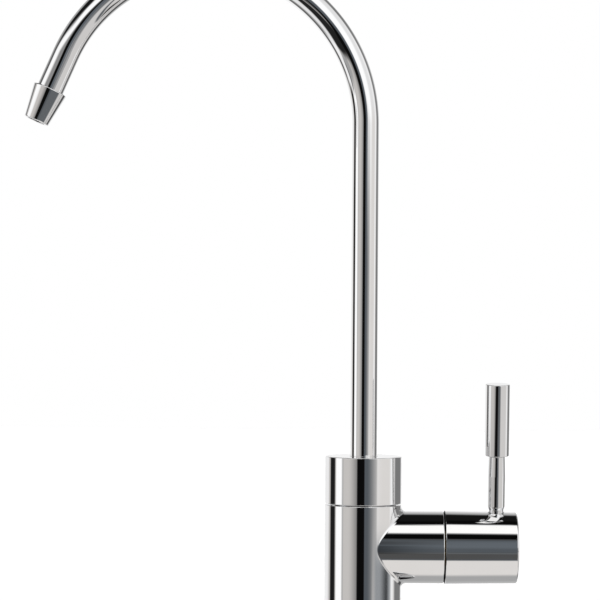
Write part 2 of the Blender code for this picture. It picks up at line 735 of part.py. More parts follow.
def make_lever(upright):
    """Lever rod, whose screwed foot locks the knob to the spindle's flat, and its sleeve."""
    foot = spindle_flat + SEAT_GAP
    shoulder = SLEEVE_BOTTOM - SEAT_GAP
    tenon_top = sleeve_ceiling - SEAT_GAP
    rod = [
        (0.0, foot),
        (lever_screw_radius, foot),
        (lever_screw_radius, lever_screw_top),
        (lever_neck_radius, lever_screw_top),
        (lever_neck_radius, lever_neck_top),
        (LEVER_RADIUS, lever_neck_top + LEVER_NECK_TAPER),
        (LEVER_RADIUS, shoulder - LEVER_WAIST_LENGTH),
        (LEVER_RADIUS - LEVER_WAIST_STEP, shoulder),
        (lever_tenon_radius, shoulder),
        (lever_tenon_radius, tenon_top),
        (0.0, tenon_top),
    ]
    turned("lever_rod", rod, chrome, SMALL_SIDES, **upright)
    sleeve = [
        (sleeve_bore_radius, SLEEVE_BOTTOM),
        (sleeve_radius - SLEEVE_BEVEL, SLEEVE_BOTTOM),
        (sleeve_radius, SLEEVE_BOTTOM + SLEEVE_BEVEL),
        (sleeve_radius, sleeve_top - SLEEVE_BEVEL),
        (sleeve_radius - SLEEVE_BEVEL, sleeve_top),
        (0.0, sleeve_top),
        (0.0, sleeve_ceiling),
        (sleeve_bore_radius, sleeve_ceiling),
    ]
    turned("lever_sleeve", sleeve, chrome, MEDIUM_SIDES, **upright)


def cut_windows(disc, label, low, high, first_angle, placing):
    """Cut a disc's two waterways, opposite each other."""
    for side in (0, 1):
        window = sector(WINDOW_INNER, DISC_RADIUS - WINDOW_RIM, first_angle + side * pi, WINDOW_HALF_ANGLE)
        cut(disc, prism(f"{label}_{side}", window, low - LEAD_IN, high + LEAD_IN, None, **placing))


def make_discs(still, turning):
    """The seat seal, the fixed disc with its two ears and the moving disc with its drive slot."""
    seal_outer = DISC_RADIUS - SEAT_SEAL_INSET
    seal_top = seat_seal_base + SEAT_SEAL_THICKNESS
    seal = ring_outline(seal_outer - SEAT_SEAL_WIDTH, seal_outer, seat_seal_base, seal_top)
    turned("seat_seal", seal, rubber, **still)

    disc_ends = (fixed_disc_base, fixed_disc_top)
    fixed_disc = plain_disc("fixed_disc", DISC_RADIUS, *disc_ends, ceramic, MEDIUM_SIDES, **still)
    ear = (DISC_RADIUS + DISC_EAR_REACH, DISC_EAR_WIDTH / 2)
    ear_low = fixed_disc_base + SEAL_GAP
    ear_high = fixed_disc_top - SEAL_GAP
    join(fixed_disc, block("disc_ears", (-ear[0], -ear[1], ear_low), (ear[0], ear[1], ear_high), **still))
    cut_windows(fixed_disc, "fixed_window", *disc_ends, pi / 2, still)

    disc_ends = (moving_disc_base, moving_disc_top)
    moving_disc = plain_disc("moving_disc", DISC_RADIUS, *disc_ends, ceramic, MEDIUM_SIDES, **turning)
    cut_windows(moving_disc, "moving_window", *disc_ends, 0.0, turning)
    half_width = DRIVE_SLOT_WIDTH / 2
    half_length = DRIVE_SLOT_LENGTH / 2
    low = (-half_width, -half_length, moving_disc_top - DRIVE_SLOT_DEPTH)
    high = (half_width, half_length, moving_disc_top + LEAD_IN)
    cut(moving_disc, block("drive_slot", low, high, **turning))


def make_spindle(turning):
    """Spindle: tongue in the moving disc, flange, sealed shaft, circlip groove and flatted end."""
    clip_low = circlip_base - SEAL_GAP
    clip_high = circlip_base + CIRCLIP_THICKNESS + SEAL_GAP
    clip_floor = SPINDLE_RADIUS - CIRCLIP_GROOVE_DEPTH
    flange_radius = DISC_RADIUS - SPINDLE_FLANGE_INSET
    outline = [
        (0.0, spindle_base),
        (flange_radius, spindle_base),
        (flange_radius, spindle_flange_top),
        (SPINDLE_RADIUS, spindle_flange_top),
        *groove_outline(SPINDLE_RADIUS, spindle_seal_base),
        (SPINDLE_RADIUS, clip_low),
        (clip_floor, clip_low),
        (clip_floor, clip_high),
        (spindle_drive_radius, clip_high),
        (spindle_drive_radius, spindle_end),
        (0.0, spindle_end),
    ]
    spindle = turned("cartridge_spindle", outline, brass, SMALL_SIDES, **turning)
    half_width = DRIVE_SLOT_WIDTH / 2 - RUNNING_GAP
    half_length = DRIVE_SLOT_LENGTH / 2 - SEAT_GAP
    low = (-half_width, -half_length, moving_disc_top - DRIVE_SLOT_DEPTH + SEAT_GAP)
    high = (half_width, half_length, (spindle_base + spindle_flange_top) / 2)
    join(spindle, block("drive_tongue", low, high, **turning))
    low = (spindle_flat, -SPINDLE_RADIUS, knob_hub_base - LEAD_IN)
    high = (2 * SPINDLE_RADIUS, SPINDLE_RADIUS, spindle_end + LEAD_IN)
    cut(spindle, block("spindle_flat", low, high, **turning))

    seal_ring("spindle_o_ring", SPINDLE_RADIUS, spindle_bore_radius, spindle_seal_base, **turning)
    clip_inner = clip_floor + SEAL_GAP
    clip = open_ring(clip_inner, clip_inner + CIRCLIP_WIDTH, CIRCLIP_OPENING / 2)
    prism("spindle_circlip", clip, circlip_base, circlip_base + CIRCLIP_THICKNESS, steel, **turning)
    thrust_ends = (thrust_ring_base, thrust_ring_base + THRUST_RING_THICKNESS)
    thrust = ring_outline(spindle_bore_radius + RUNNING_GAP, flange_radius, *thrust_ends)
    turned("thrust_ring", thrust, plastic, **turning)


def make_housing(still):
    """Cartridge housing: slotted skirt round the discs, seal groove, flange and neck."""
    skirt_top = housing_base + HOUSING_SKIRT_LENGTH
    flange_radius = mouth_radius - SEAT_GAP
    outline = [
        (housing_bore_radius, housing_base),
        (skirt_radius, housing_base),
        (skirt_radius, skirt_top),
        (housing_radius, skirt_top),
        *groove_outline(housing_radius, housing_seal_base),
        (housing_radius, housing_flange_base),
        (flange_radius, housing_flange_base),
        (flange_radius, housing_neck_base),
        (housing_neck_radius, housing_neck_base),
        (housing_neck_radius, housing_end - LEAD_IN),
        (housing_neck_radius - LEAD_IN, housing_end),
        (spindle_bore_radius, housing_end),
        (spindle_bore_radius, housing_shoulder),
        (housing_bore_radius, housing_shoulder),
    ]
    housing = turned("cartridge_housing", outline, brass, MEDIUM_SIDES, **still)
    reach = housing_radius + SEAT_GAP
    slot = DISC_EAR_WIDTH / 2 + SEAT_GAP
    low = (-reach, -slot, housing_base - LEAD_IN)
    high = (reach, slot, fixed_disc_top + DISC_GAP / 2)
    cut(housing, block("ear_slots", low, high, **still))
    window = HOUSING_WINDOW_WIDTH / 2
    low = (-window, -reach, moving_disc_base + LEAD_IN)
    high = (window, reach, moving_disc_top)
    cut(housing, block("side_windows", low, high, **still))
    seal_ring("cartridge_o_ring", housing_radius, chamber_radius, housing_seal_base, **still)


def make_gland_nut(still):
    """Ring nut that screws into the barrel's mouth, with a hexagon that the knob covers."""
    hex_end = gland_hex_base + GLAND_HEX_LENGTH
    thread = ring_outline(gland_bore_radius, gland_thread_radius, gland_base, gland_hex_base, LEAD_IN)
    nut = turned("gland_nut", thread, brass, MEDIUM_SIDES, **still)
    corner = gland_thread_radius - GLAND_HEX_STEP
    head_low = gland_hex_base - LEAD_IN
    head = turned("gland_head", ring_outline(gland_bore_radius, corner, head_low, hex_end), None, **still)
    flats = prism("gland_hexagon", hexagon(corner), head_low - LEAD_IN, hex_end + LEAD_IN, None, **still)
    combine(head, flats, "INTERSECT")
    join(nut, head)


clear_scene()
chrome = surface("chrome", (0.80, 0.80, 0.81), 0.06)
brass = surface("brass", (0.72, 0.55, 0.26), 0.30)
steel = surface("steel", (0.56, 0.56, 0.57), 0.32)
rubber = surface("rubber", (0.02, 0.02, 0.02), 0.75, 0.0)
ceramic = surface("ceramic", (0.86, 0.85, 0.80), 0.25, 0.0)
plastic = surface("plastic", (0.78, 0.78, 0.76), 0.45, 0.0)

spout_pivot = empty("spout_pivot", (0.0, 0.0, 0.0), turn=SPOUT_TURN)
cartridge_place = empty("cartridge_place", (0.0, 0.0, BARREL_HEIGHT))
handle_pivot = empty("handle_pivot", (0.0, 0.0, BARREL_HEIGHT), tilt=HANDLE_TILT)
on_lever_axis = {"parent": handle_pivot, "location": (lever_position, 0.0, 0.0)}
in_barrel = {"parent": cartridge_place, "rotation": ALONG_BARREL}
with_handle = {"parent": handle_pivot, "rotation": ALONG_BARREL}

make_body()
make_base()
make_tube(spout_pivot)
make_spout_joint(spout_pivot)
make_nozzle(spout_pivot)
make_knob(handle_pivot, on_lever_axis)
make_lever(on_lever_axis)
make_discs(in_barrel, with_handle)
make_spindle(with_handle)
make_housing(in_barrel)
make_gland_nut(in_barrel)
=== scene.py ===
import json
from math import atan2, ceil, cos, pi, radians, sin, sqrt, tan

import bpy
import numpy as np
from mathutils import Matrix, Vector
from mathutils.geometry import delaunay_2d_cdt


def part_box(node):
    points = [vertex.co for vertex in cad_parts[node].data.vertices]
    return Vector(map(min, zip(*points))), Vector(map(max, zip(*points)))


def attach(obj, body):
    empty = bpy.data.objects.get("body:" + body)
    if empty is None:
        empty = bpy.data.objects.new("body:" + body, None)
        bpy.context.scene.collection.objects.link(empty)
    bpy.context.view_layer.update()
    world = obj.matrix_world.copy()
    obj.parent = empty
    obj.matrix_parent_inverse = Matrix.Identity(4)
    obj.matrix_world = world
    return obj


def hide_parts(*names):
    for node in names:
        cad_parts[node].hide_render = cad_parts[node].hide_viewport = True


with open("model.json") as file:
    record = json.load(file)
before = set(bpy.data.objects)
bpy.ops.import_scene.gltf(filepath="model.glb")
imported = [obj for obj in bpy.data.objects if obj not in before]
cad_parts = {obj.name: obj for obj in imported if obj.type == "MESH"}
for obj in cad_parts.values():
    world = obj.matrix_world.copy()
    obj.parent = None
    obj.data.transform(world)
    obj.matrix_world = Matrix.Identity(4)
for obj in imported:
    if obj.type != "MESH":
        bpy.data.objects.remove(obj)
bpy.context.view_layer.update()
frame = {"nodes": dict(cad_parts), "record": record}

# Rounding of the edges, which the solids bevel. EDGE_MIDDLE is how far the middle of a rounding lies
# inside its two faces, as a share of its radius.
EDGE_ROUND = 0.00028
FINE_ROUND = EDGE_ROUND / 2
EDGE_MIDDLE = 0.29

# Column and barrel of the body
BARREL_HEIGHT = 0.050
BARREL_RADIUS = 0.01455
BARREL_FILLET = 0.0018
CHAMBER_FLOOR = 0.0025
CHAMBER_STEP = 0.0210
CHAMBER_RADIUS = 0.0089
MOUTH_RADIUS = 0.0098
MOUTH_ROUND = 0.00045
NECK_RADIUS = 0.0130
SOCKET_RADIUS = 0.0084
SOCKET_DEPTH = 0.0150
SHANK_SOCKET_RADIUS = 0.00625
SHANK_SOCKET_DEPTH = 0.0112
SEAM_GAP = 0.0004
SEAT_GAP = 0.0003
RUNNING_GAP = 0.00015
LEAD_IN = 0.0005

# Spout
TUBE_RADIUS = 0.00538
TUBE_BORE_RADIUS = 0.0044
BEND_RADIUS = 0.0632
BEND_HEIGHT = 0.2208
BEND_SWEEP = radians(156.4)
SPOUT_TURN = radians(8.0)
LEG_LENGTH = 0.0149
TUBE_DEPTH_IN_NOZZLE = 0.0070
COLLAR_HOLE_RADIUS = 0.00565
COLLAR_HOLE_ROUND = 0.0005
COLLAR_TOP_WALL = 0.0032
NOZZLE_TOP_RADIUS = 0.00695
NOZZLE_TIP_RADIUS = 0.00505
NOZZLE_LENGTH = 0.0137
NOZZLE_MOUTH_RADIUS = 0.00365
NOZZLE_ROOM_RADIUS = 0.00455
NOZZLE_LEDGE = 0.0014
NOZZLE_ROUND = 0.0004
STRAIGHTENER_THICKNESS = 0.0024
STRAIGHTENER_HOLE_RADIUS = 0.0008
STRAIGHTENER_HOLE_CIRCLE = 0.0022
STRAIGHTENER_HOLES_AROUND = 6
STRAIGHTENER_ROUND = 0.0001

# Handle
HANDLE_TILT = radians(5.5)
KNOB_SEAM_RADIUS = 0.01472
KNOB_END_RADIUS = 0.01435
KNOB_EDGE_ROUND = 0.0007
KNOB_CAVITY_RADIUS = 0.0105
KNOB_CAVITY_DEPTH = 0.0082
KNOB_LENGTH = 0.0292
LEVER_FROM_KNOB_END = 0.00845
LEVER_HOLE_RADIUS = 0.00325
LEVER_HOLE_FLOOR = 0.0110
LEVER_RADIUS = 0.00345
LEVER_NECK_RADIUS = 0.0030
LEVER_NECK_TOP = 0.01552
LEVER_NECK_TAPER = 0.0012
LEVER_NECK_ROUND = 0.0012
LEVER_WAIST_RADIUS = 0.00325
LEVER_WAIST_LENGTH = 0.0080
LEVER_WAIST_ROUND = 0.0060
LEVER_FOOT = 0.0048
SLEEVE_RADIUS = 0.0049
SLEEVE_BORE_RADIUS = 0.00295
TENON_GAP = 0.00025
SLEEVE_BOTTOM = 0.0375
SLEEVE_LENGTH = 0.0290
SLEEVE_TOP_WALL = 0.0040

# Worktop side. THREAD_FLAT is the share of a pitch that the thread's crest takes, and its root too.
# NUT_FACE_SHARE is how much of the nut's width across flats its two faces take.
FLANGE_ROUND = 0.0018
THREAD_PITCH = 0.00125
THREAD_DEPTH = 0.00068
THREAD_FLAT = 0.12
SHANK_BORE_RADIUS = 0.0034
SHANK_CHAMFER = 0.0008
WASHER_BORE_RADIUS = 0.0063
GASKET_HOLE_RADIUS = 0.0095
SOFT_ROUND = 0.0006
WASHER_ROUND = 0.0003
NUT_ACROSS_FLATS = 0.0190
NUT_FACE_SHARE = 0.97
NUT_BORE_RADIUS = 0.00625
NUT_CHAMFER = radians(40.0)
NUT_CORNER_ROUND = 0.0005
LOCK_WASHER_CUT = 0.0012
LOCK_WASHER_ROUND = 0.00025
LOCK_WASHER_END_SHARE = 0.9

# How fine the meshes are. A window is the part of a turned wall that is meshed round an opening.
ROUND_STEPS = 6
TURNED_SIDES = 128
COLUMN_SIDES = 192
WINDOW_HALF_ANGLE = radians(80.0)
WINDOW_STEPS = 48
WINDOW_RINGS = 12
COLUMN_SIDES_OUTSIDE = 60
FILLET_STEPS = 10
BARREL_STEPS = 8
TUBE_SIDES = 96
RISER_STEPS = 24
BEND_STEPS = 160
LEG_STEPS = 8
HOLE_SIDES = 36
KNOB_WINDOW_HALF = 0.0052
KNOB_WINDOW_STEPS = 16
KNOB_WINDOW_RINGS = 6
KNOB_SIDES_OUTSIDE = 120
KNOB_WALL_STEPS = 8
KNOB_EDGE_STEPS = 10
PIN_SIDES = 96
THREAD_SIDES = 64
THREAD_STEPS = 10
NUT_FLAT_STEPS = 14
LOCK_WASHER_STEPS = 120

# Too small to be a radius, a difference between two directions, a turn, or a distance
ON_AXIS = 1e-7
SAME_WAY = 1e-6
STRAIGHT = 1e-4
SAME_PLACE = 1e-9

# Looks
CHROME_LEVEL = 0.86
GRAIN_HEIGHT = 0.0001
FLOOR_HALF = 3.0
FLOOR_LEVEL = 0.85
FLOOR_GLOW = 0.6

# The photograph's camera
CAMERA_DISTANCE = 1.032
CAMERA_X = -0.0261
CAMERA_Z = 0.1495
CAMERA_ROLL = radians(0.37)
LENS = 153.2
SENSOR = 36.0

# How the handle leans, and the knob in it, turned to point along +X
HANDLE = Matrix.Translation((0.0, 0.0, BARREL_HEIGHT)) @ Matrix.Rotation(HANDLE_TILT, 4, "X")
KNOB = HANDLE @ Matrix.Rotation(pi / 2, 4, "Y")


class Skin:
    """Vertices, normals and faces of one closed surface while it is being made."""

    def __init__(self):
        self.points = []
        self.normals = []
        self.faces = []
        # The span of faces that get a near-black painted shade for seams and hollows
        self.painted_shade = (0, 0)

    def vertex(self, point, normal):
        self.points.append(tuple(point))
        self.normals.append(tuple(normal))
        return len(self.points) - 1

    def swept(self, place, normal, angle, centre=(0.0, 0.0)):
        """A vertex at a place of (radius, height), turned about an axis along Z."""
        point = (centre[0] + place.x * cos(angle), centre[1] + place.x * sin(angle), place.y)
        return self.vertex(point, (normal.x * cos(angle), normal.x * sin(angle), normal.y))

    def strip(self, lower, upper, closed=True):
        """Quads between two rows of vertices; a row of one vertex makes a fan."""
        count = max(len(lower), len(upper))
        for side in range(count if closed else count - 1):
            after = (side + 1) % count
            corners = [lower[side % len(lower)], lower[after % len(lower)]]
            corners += [upper[after % len(upper)], upper[side % len(upper)]]
            face = list(dict.fromkeys(corners))
            if len(face) > 2:
                self.faces.append(face)

    def loft(self, rows, closed=False):
        """Strips between neighbouring rows, and from the last row back to the first if closed."""
        for lower, upper in zip(rows, rows[1:] + rows[:1] if closed else rows[1:]):
            self.strip(lower, upper)

    def make(self, name, material, place=Matrix.Identity(4), inner=None):
        """Turn the skin into an object whose shading follows the true surface.

        The material inner, a near-black painted shade for seams and hollows, goes on the faces from one
        index of the skin's shaded span to the other.
        """
        mesh = bpy.data.meshes.new(name)
        turn = place.to_3x3()
        mesh.from_pydata([place @ Vector(p) for p in self.points], [], self.faces)
        mesh.update()
        if volume(mesh) < 0:
            mesh.flip_normals()
        mesh.shade_smooth()
        normals = [(turn @ Vector(n)).normalized() for n in self.normals]
        mesh.normals_split_custom_set_from_vertices(normals)
        mesh.materials.append(material)
        if inner:
            mesh.materials.append(inner)
            for face in mesh.polygons[self.painted_shade[0] : self.painted_shade[1]]:
                face.material_index = 1
        piece = bpy.data.objects.new(name, mesh)
        bpy.context.scene.collection.objects.link(piece)
        return piece


def volume(mesh):
    """Signed volume inside a mesh, negative where its faces point inwards."""
    mesh.calc_loop_triangles()
    corners = np.array([v.co for v in mesh.vertices])
    triangles = np.array([t.vertices for t in mesh.loop_triangles])
    a, b, c = (corners[triangles[:, index]] for index in range(3))
    return float((a * np.cross(b, c)).sum() / 6)


def rounded(corners, closed=True, steps=ROUND_STEPS):
    """An outline of (radius, height, rounding) corners as points with their outward normals.

    The outline runs with the material on its left, so outward is on its right.
    """
    outline = []
    count = len(corners)
    for index, (x, z, rounding) in enumerate(corners):
        here = Vector((x, z))
        before = Vector(corners[index - 1][:2])
        after = Vector(corners[(index + 1) % count][:2])
        came = (here - before).normalized()
        goes = (after - here).normalized()
        if not closed and index == 0:
            came = goes
        if not closed and index == count - 1:
            goes = came
        first = Vector((came.y, -came.x))
        last = Vector((goes.y, -goes.x))
        turn = came.angle_signed(goes) if (came - goes).length > SAME_WAY else 0.0
        if abs(turn) < STRAIGHT:
            outline.append((here, first))
            continue
        reach = rounding * tan(abs(turn) / 2)
        start = here - came * reach
        side = 1 if turn < 0 else -1
        centre = start - first * rounding * side
        pieces = steps if rounding > 0 else 1
        for step in range(pieces + 1):
            normal = first.slerp(last, step / pieces)
            outline.append((centre + normal * rounding * side, normal))
    return outline


def rounded_corner(corner, came, goes, rounding, steps=ROUND_STEPS):
    """Points and normals of one rounded corner between two directions."""
    here = Vector(corner)
    before = here - Vector(came)
    after = here + Vector(goes)
    return rounded([(*before, 0.0), (*here, rounding), (*after, 0.0)], False, steps)[1:-1]


def even_angles(sides):
    return [2 * pi * side / sides for side in range(sides)]


def spin(skin, outline, angles, closed=True, window=None):
    """Turn an outline about Z and return its rows of vertices.

    A window of (first row, last row, columns) stays open, from the first column on.
    """
    rows = []
    for place, normal in outline:
        if place.x < ON_AXIS:
            rows.append([skin.vertex((0.0, 0.0, place.y), (0.0, 0.0, 1.0 if normal.y > 0 else -1.0))])
            continue
        rows.append([skin.swept(place, normal, angle) for angle in angles])
    first_row, last_row, columns = window or (0, 0, 0)
    for index, (lower, upper) in enumerate(zip(rows, rows[1:] + rows[:1] if closed else rows[1:])):
        if first_row <= index < last_row:
            skin.strip(lower[columns:] + lower[:1], upper[columns:] + upper[:1], closed=False)
        else:
            skin.strip(lower, upper)
    return rows


def turned(name, corners, material, closed=True, sides=TURNED_SIDES, place=Matrix.Identity(4)):
    """A turned piece from an outline of (radius, height, rounding) corners."""
    skin = Skin()
    spin(skin, rounded(corners, closed), even_angles(sides), closed)
    return skin.make(name, material, place)


def add(name, piece, body):
    """Let a piece stand for the CAD node of this name, in its body."""
    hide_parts(name)
    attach(piece, body)


def window_angles(half_angle, steps, outside, middle=0.0):
    """Angles round a turned piece, in steps inside a window and in others outside it."""
    inside = [middle - half_angle + 2 * half_angle * step / steps for step in range(steps)]
    rest = 2 * pi - 2 * half_angle
    return inside + [middle + half_angle + rest * step / outside for step in range(outside)]


def frame_ring(rows, first_row, last_row, steps):
    """Vertices round a window, from its lower left corner, the way the angles grow."""
    ring = [rows[first_row][column] for column in range(steps)]
    ring += [rows[row][steps] for row in range(first_row, last_row)]
    ring += [rows[last_row][column] for column in range(steps, 0, -1)]
    ring += [rows[row][0] for row in range(last_row, first_row, -1)]
    return ring


def rim_turns(steps):
    """Turns round an opening, one for each vertex that frame_ring finds round its window."""
    count = 4 * steps
    return [5 * pi / 4 + 2 * pi * index / count for index in range(count)]


def frame_place(point, facing=1):
    """Angle and height of a point on a turned wall; facing is -1 for a window that looks to -X."""
    return atan2(facing * point[1], facing * point[0]), point[2]


def fill_window(skin, rows, window, wall, rim_places, rings, facing=1):
    """Fill a window round an opening with rings that follow the wall, and return the rim."""
    before = frame_ring(rows, *window)
    frame_places = [frame_place(skin.points[index], facing) for index in before]
    for ring in range(1, rings + 1):
        share = ring / rings
        row = []
        for (u0, v0), (u1, v1) in zip(frame_places, rim_places):
            point, normal = wall(u0 + (u1 - u0) * share, v0 + (v1 - v0) * share)
            row.append(skin.vertex(point, normal))
        skin.strip(before, row)
        before = row
    return before


def column_outline(bottom, top, neck_top, radius):
    """The column's outline, from the shank's socket round to the spout's, and its window."""
    floor = neck_top - SOCKET_DEPTH
    ceiling = bottom + SHANK_SOCKET_DEPTH
    wall_low = bottom + EDGE_ROUND
    wall_high = top - EDGE_ROUND
    outline = rounded(
        [
            (0.0, ceiling, 0.0),
            (SHANK_SOCKET_RADIUS, ceiling, FINE_ROUND),
            (SHANK_SOCKET_RADIUS, bottom, FINE_ROUND),
            (radius, bottom, EDGE_ROUND),
        ],
        closed=False,
    )[:-1]
    outline += rounded_corner((radius, bottom), (1, 0), (0, 1), EDGE_ROUND)
    first_row = len(outline) - 1
    for step in range(1, WINDOW_STEPS):
        height = wall_low + (wall_high - wall_low) * step / WINDOW_STEPS
        outline.append((Vector((radius, height)), Vector((1.0, 0.0))))
    window = (first_row, len(outline), WINDOW_STEPS)
    outline += rounded_corner((radius, top), (0, 1), (-1, 0), EDGE_ROUND)
    outline += rounded(
        [
            (radius - EDGE_ROUND, top, 0.0),
            (NECK_RADIUS, top, FINE_ROUND),
            (NECK_RADIUS, neck_top, LEAD_IN),
            (SOCKET_RADIUS, neck_top, LEAD_IN),
            (SOCKET_RADIUS, floor, FINE_ROUND),
            (0.0, floor, 0.0),
        ],
        closed=False,
    )[1:]
    return outline, window


def barrel_line(turn, radius, reach):
    """One lengthwise line of the barrel, from the column over the fillet to its rounded mouth."""
    across = cos(turn)
    upward = sin(turn)
    centre_y = (BARREL_RADIUS + BARREL_FILLET) * across
    centre_z = (BARREL_RADIUS + BARREL_FILLET) * upward
    centre_x = sqrt((radius + BARREL_FILLET) ** 2 - centre_y**2)
    centre = Vector((centre_x, centre_y, centre_z + BARREL_HEIGHT))
    outward = Vector((0.0, across, upward))
    from_body = Vector((centre_x, centre_y, 0.0)).normalized()
    line = []
    for step in range(FILLET_STEPS + 1):
        normal = from_body.slerp(outward, step / FILLET_STEPS)
        line.append((centre - normal * BARREL_FILLET, normal))
    axis = Vector((0.0, 0.0, BARREL_HEIGHT))
    end = reach - MOUTH_ROUND
    for step in range(1, BARREL_STEPS + 1):
        x = centre_x + (end - centre_x) * step / BARREL_STEPS
        line.append((axis + Vector((x, 0.0, 0.0)) + outward * BARREL_RADIUS, outward))
    for step in range(1, ROUND_STEPS + 1):
        normal = outward.slerp(Vector((1.0, 0.0, 0.0)), step / ROUND_STEPS)
        middle = axis + Vector((end, 0.0, 0.0)) + outward * (BARREL_RADIUS - MOUTH_ROUND)
        line.append((middle + normal * MOUTH_ROUND, normal))
    return line


def on_barrel(radius, x, normal, turn):
    """A point and normal on a turned face of the barrel."""
    point = (x, radius * cos(turn), BARREL_HEIGHT + radius * sin(turn))
    return point, (normal.y, normal.x * cos(turn), normal.x * sin(turn))


def make_body(material, painted_shade):
    """The body: a column with its threaded neck, the barrel with its fillet, and the sockets."""
    low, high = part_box("faucet_body")
    radius = -low.x
    reach = high.x
    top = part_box("spout_collar")[0].z - SEAM_GAP
    outline, window = column_outline(low.z, top, high.z, radius)
    skin = Skin()
    angles = window_angles(WINDOW_HALF_ANGLE, WINDOW_STEPS, COLUMN_SIDES_OUTSIDE)
    rows = spin(skin, outline, angles, closed=False, window=window)
    turns = rim_turns(WINDOW_STEPS)
    lines = [barrel_line(turn, radius, reach) for turn in turns]
    rim_places = [frame_place(line[0][0]) for line in lines]

    def column_wall(angle, height):
        point = (radius * cos(angle), radius * sin(angle), height)
        return point, (cos(angle), sin(angle), 0.0)

    barrel = [fill_window(skin, rows, window, column_wall, rim_places, WINDOW_RINGS)]
    for step in range(1, len(lines[0])):
        barrel.append([skin.vertex(*line[step]) for line in lines])
    skin.loft(barrel)
    chamber = rounded(
        [
            (BARREL_RADIUS - MOUTH_ROUND, reach, 0.0),
            (MOUTH_RADIUS, reach, FINE_ROUND),
            (MOUTH_RADIUS, CHAMBER_STEP, FINE_ROUND),
            (CHAMBER_RADIUS, CHAMBER_STEP, FINE_ROUND),
            (CHAMBER_RADIUS, CHAMBER_FLOOR, FINE_ROUND),
            (0.0, CHAMBER_FLOOR, 0.0),
        ],
        closed=False,
    )[1:-1]
    # The mouth's face and the chamber inside it get the painted shade, so that the seam to the knob shows
    # dark
    outside = len(skin.faces)
    inner = [barrel[-1]]
    for place, normal in chamber:
        inner.append([skin.vertex(*on_barrel(place.x, place.y, normal, turn)) for turn in turns])
    inner.append([skin.vertex((CHAMBER_FLOOR, 0.0, BARREL_HEIGHT), (1.0, 0.0, 0.0))])
    skin.loft(inner)
    skin.painted_shade = (outside, len(skin.faces))
    return skin.make("body_casting", material, inner=painted_shade)


def make_collar(material):
    """The collar: a cap over the body's neck with the tube's hole in its top."""
    low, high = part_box("spout_collar")
    radius = high.x
    ceiling = high.z - COLLAR_TOP_WALL
    thread = NECK_RADIUS + LEAD_IN / 2
    corners = [
        (thread, low.z, FINE_ROUND),
        (radius, low.z, EDGE_ROUND),
        (radius, high.z, EDGE_ROUND),
        (COLLAR_HOLE_RADIUS, high.z, COLLAR_HOLE_ROUND),
        (COLLAR_HOLE_RADIUS, ceiling, FINE_ROUND),
        (thread, ceiling, FINE_ROUND),
    ]
    return turned("collar_cap", corners, material, sides=COLUMN_SIDES)


def tube_stations(start):
    """Centres of the tube from its lower end to its upper one, each with the tube's turn there."""
    centre = Vector((-BEND_RADIUS, 0.0, BEND_HEIGHT))
    stations = []
    for step in range(RISER_STEPS):
        height = start + (BEND_HEIGHT - start) * step / RISER_STEPS
        stations.append((Vector((0.0, 0.0, height)), 0.0))
    for step in range(BEND_STEPS + 1):
        turn = BEND_SWEEP * step / BEND_STEPS
        stations.append((centre + BEND_RADIUS * Vector((cos(turn), 0.0, sin(turn))), turn))
    leg = (LEG_LENGTH + TUBE_DEPTH_IN_NOZZLE) * Vector((-sin(BEND_SWEEP), 0.0, cos(BEND_SWEEP)))
    end = stations[-1][0]
    for step in range(1, LEG_STEPS + 1):
        stations.append((end + leg * step / LEG_STEPS, BEND_SWEEP))
    return stations


def make_tube(material):
    """The bent tube, an outer and an inner skin joined over rounded ends."""
    stations = tube_stations(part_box("spout_tube")[0].z)
    first = stations[0]
    last = stations[-1]
    edge = EDGE_ROUND
    middle = edge * EDGE_MIDDLE
    skin = Skin()

    def ring(station, radius, shift, lean):
        """A ring of vertices, shifted along the tube; its normals lean from outward to along it."""
        centre, turn = station
        along = Vector((-sin(turn), 0.0, cos(turn)))
        outward = Vector((cos(turn), 0.0, sin(turn)))
        row = []
        for angle in even_angles(TUBE_SIDES):
            radial = outward * cos(angle) + Vector((0.0, sin(angle), 0.0))
            normal = radial * cos(lean) + along * sin(lean)
            row.append(skin.vertex(centre + along * shift + radial * radius, normal))
        return row

    rows = [
        ring(first, TUBE_RADIUS - edge, 0.0, -pi / 2),
        ring(first, TUBE_RADIUS - middle, middle, -pi / 4),
        ring(first, TUBE_RADIUS, edge, 0.0),
        *[ring(station, TUBE_RADIUS, 0.0, 0.0) for station in stations[1:-1]],
        ring(last, TUBE_RADIUS, -edge, 0.0),
        ring(last, TUBE_RADIUS - middle, -middle, pi / 4),
        ring(last, TUBE_RADIUS - edge, 0.0, pi / 2),
        ring(last, TUBE_BORE_RADIUS + edge, 0.0, pi / 2),
        ring(last, TUBE_BORE_RADIUS, -edge, pi),
        *[ring(station, TUBE_BORE_RADIUS, 0.0, pi) for station in stations[-2:0:-1]],
        ring(first, TUBE_BORE_RADIUS, edge, pi),
        ring(first, TUBE_BORE_RADIUS + edge, 0.0, 1.5 * pi),
    ]
    skin.loft(rows, closed=True)
    return skin.make("gooseneck_tube", material, Matrix.Rotation(SPOUT_TURN, 4, "Z"))


def nozzle_place():
    """Where the nozzle stands: at its top rim, with its axis towards the mouth."""
    end, turn = tube_stations(0.0)[-1]
    leg = Vector((-sin(turn), 0.0, cos(turn)))
    place = Matrix.Translation(end - leg * TUBE_DEPTH_IN_NOZZLE) @ Matrix.Rotation(-turn, 4, "Y")
    return Matrix.Rotation(SPOUT_TURN, 4, "Z") @ place


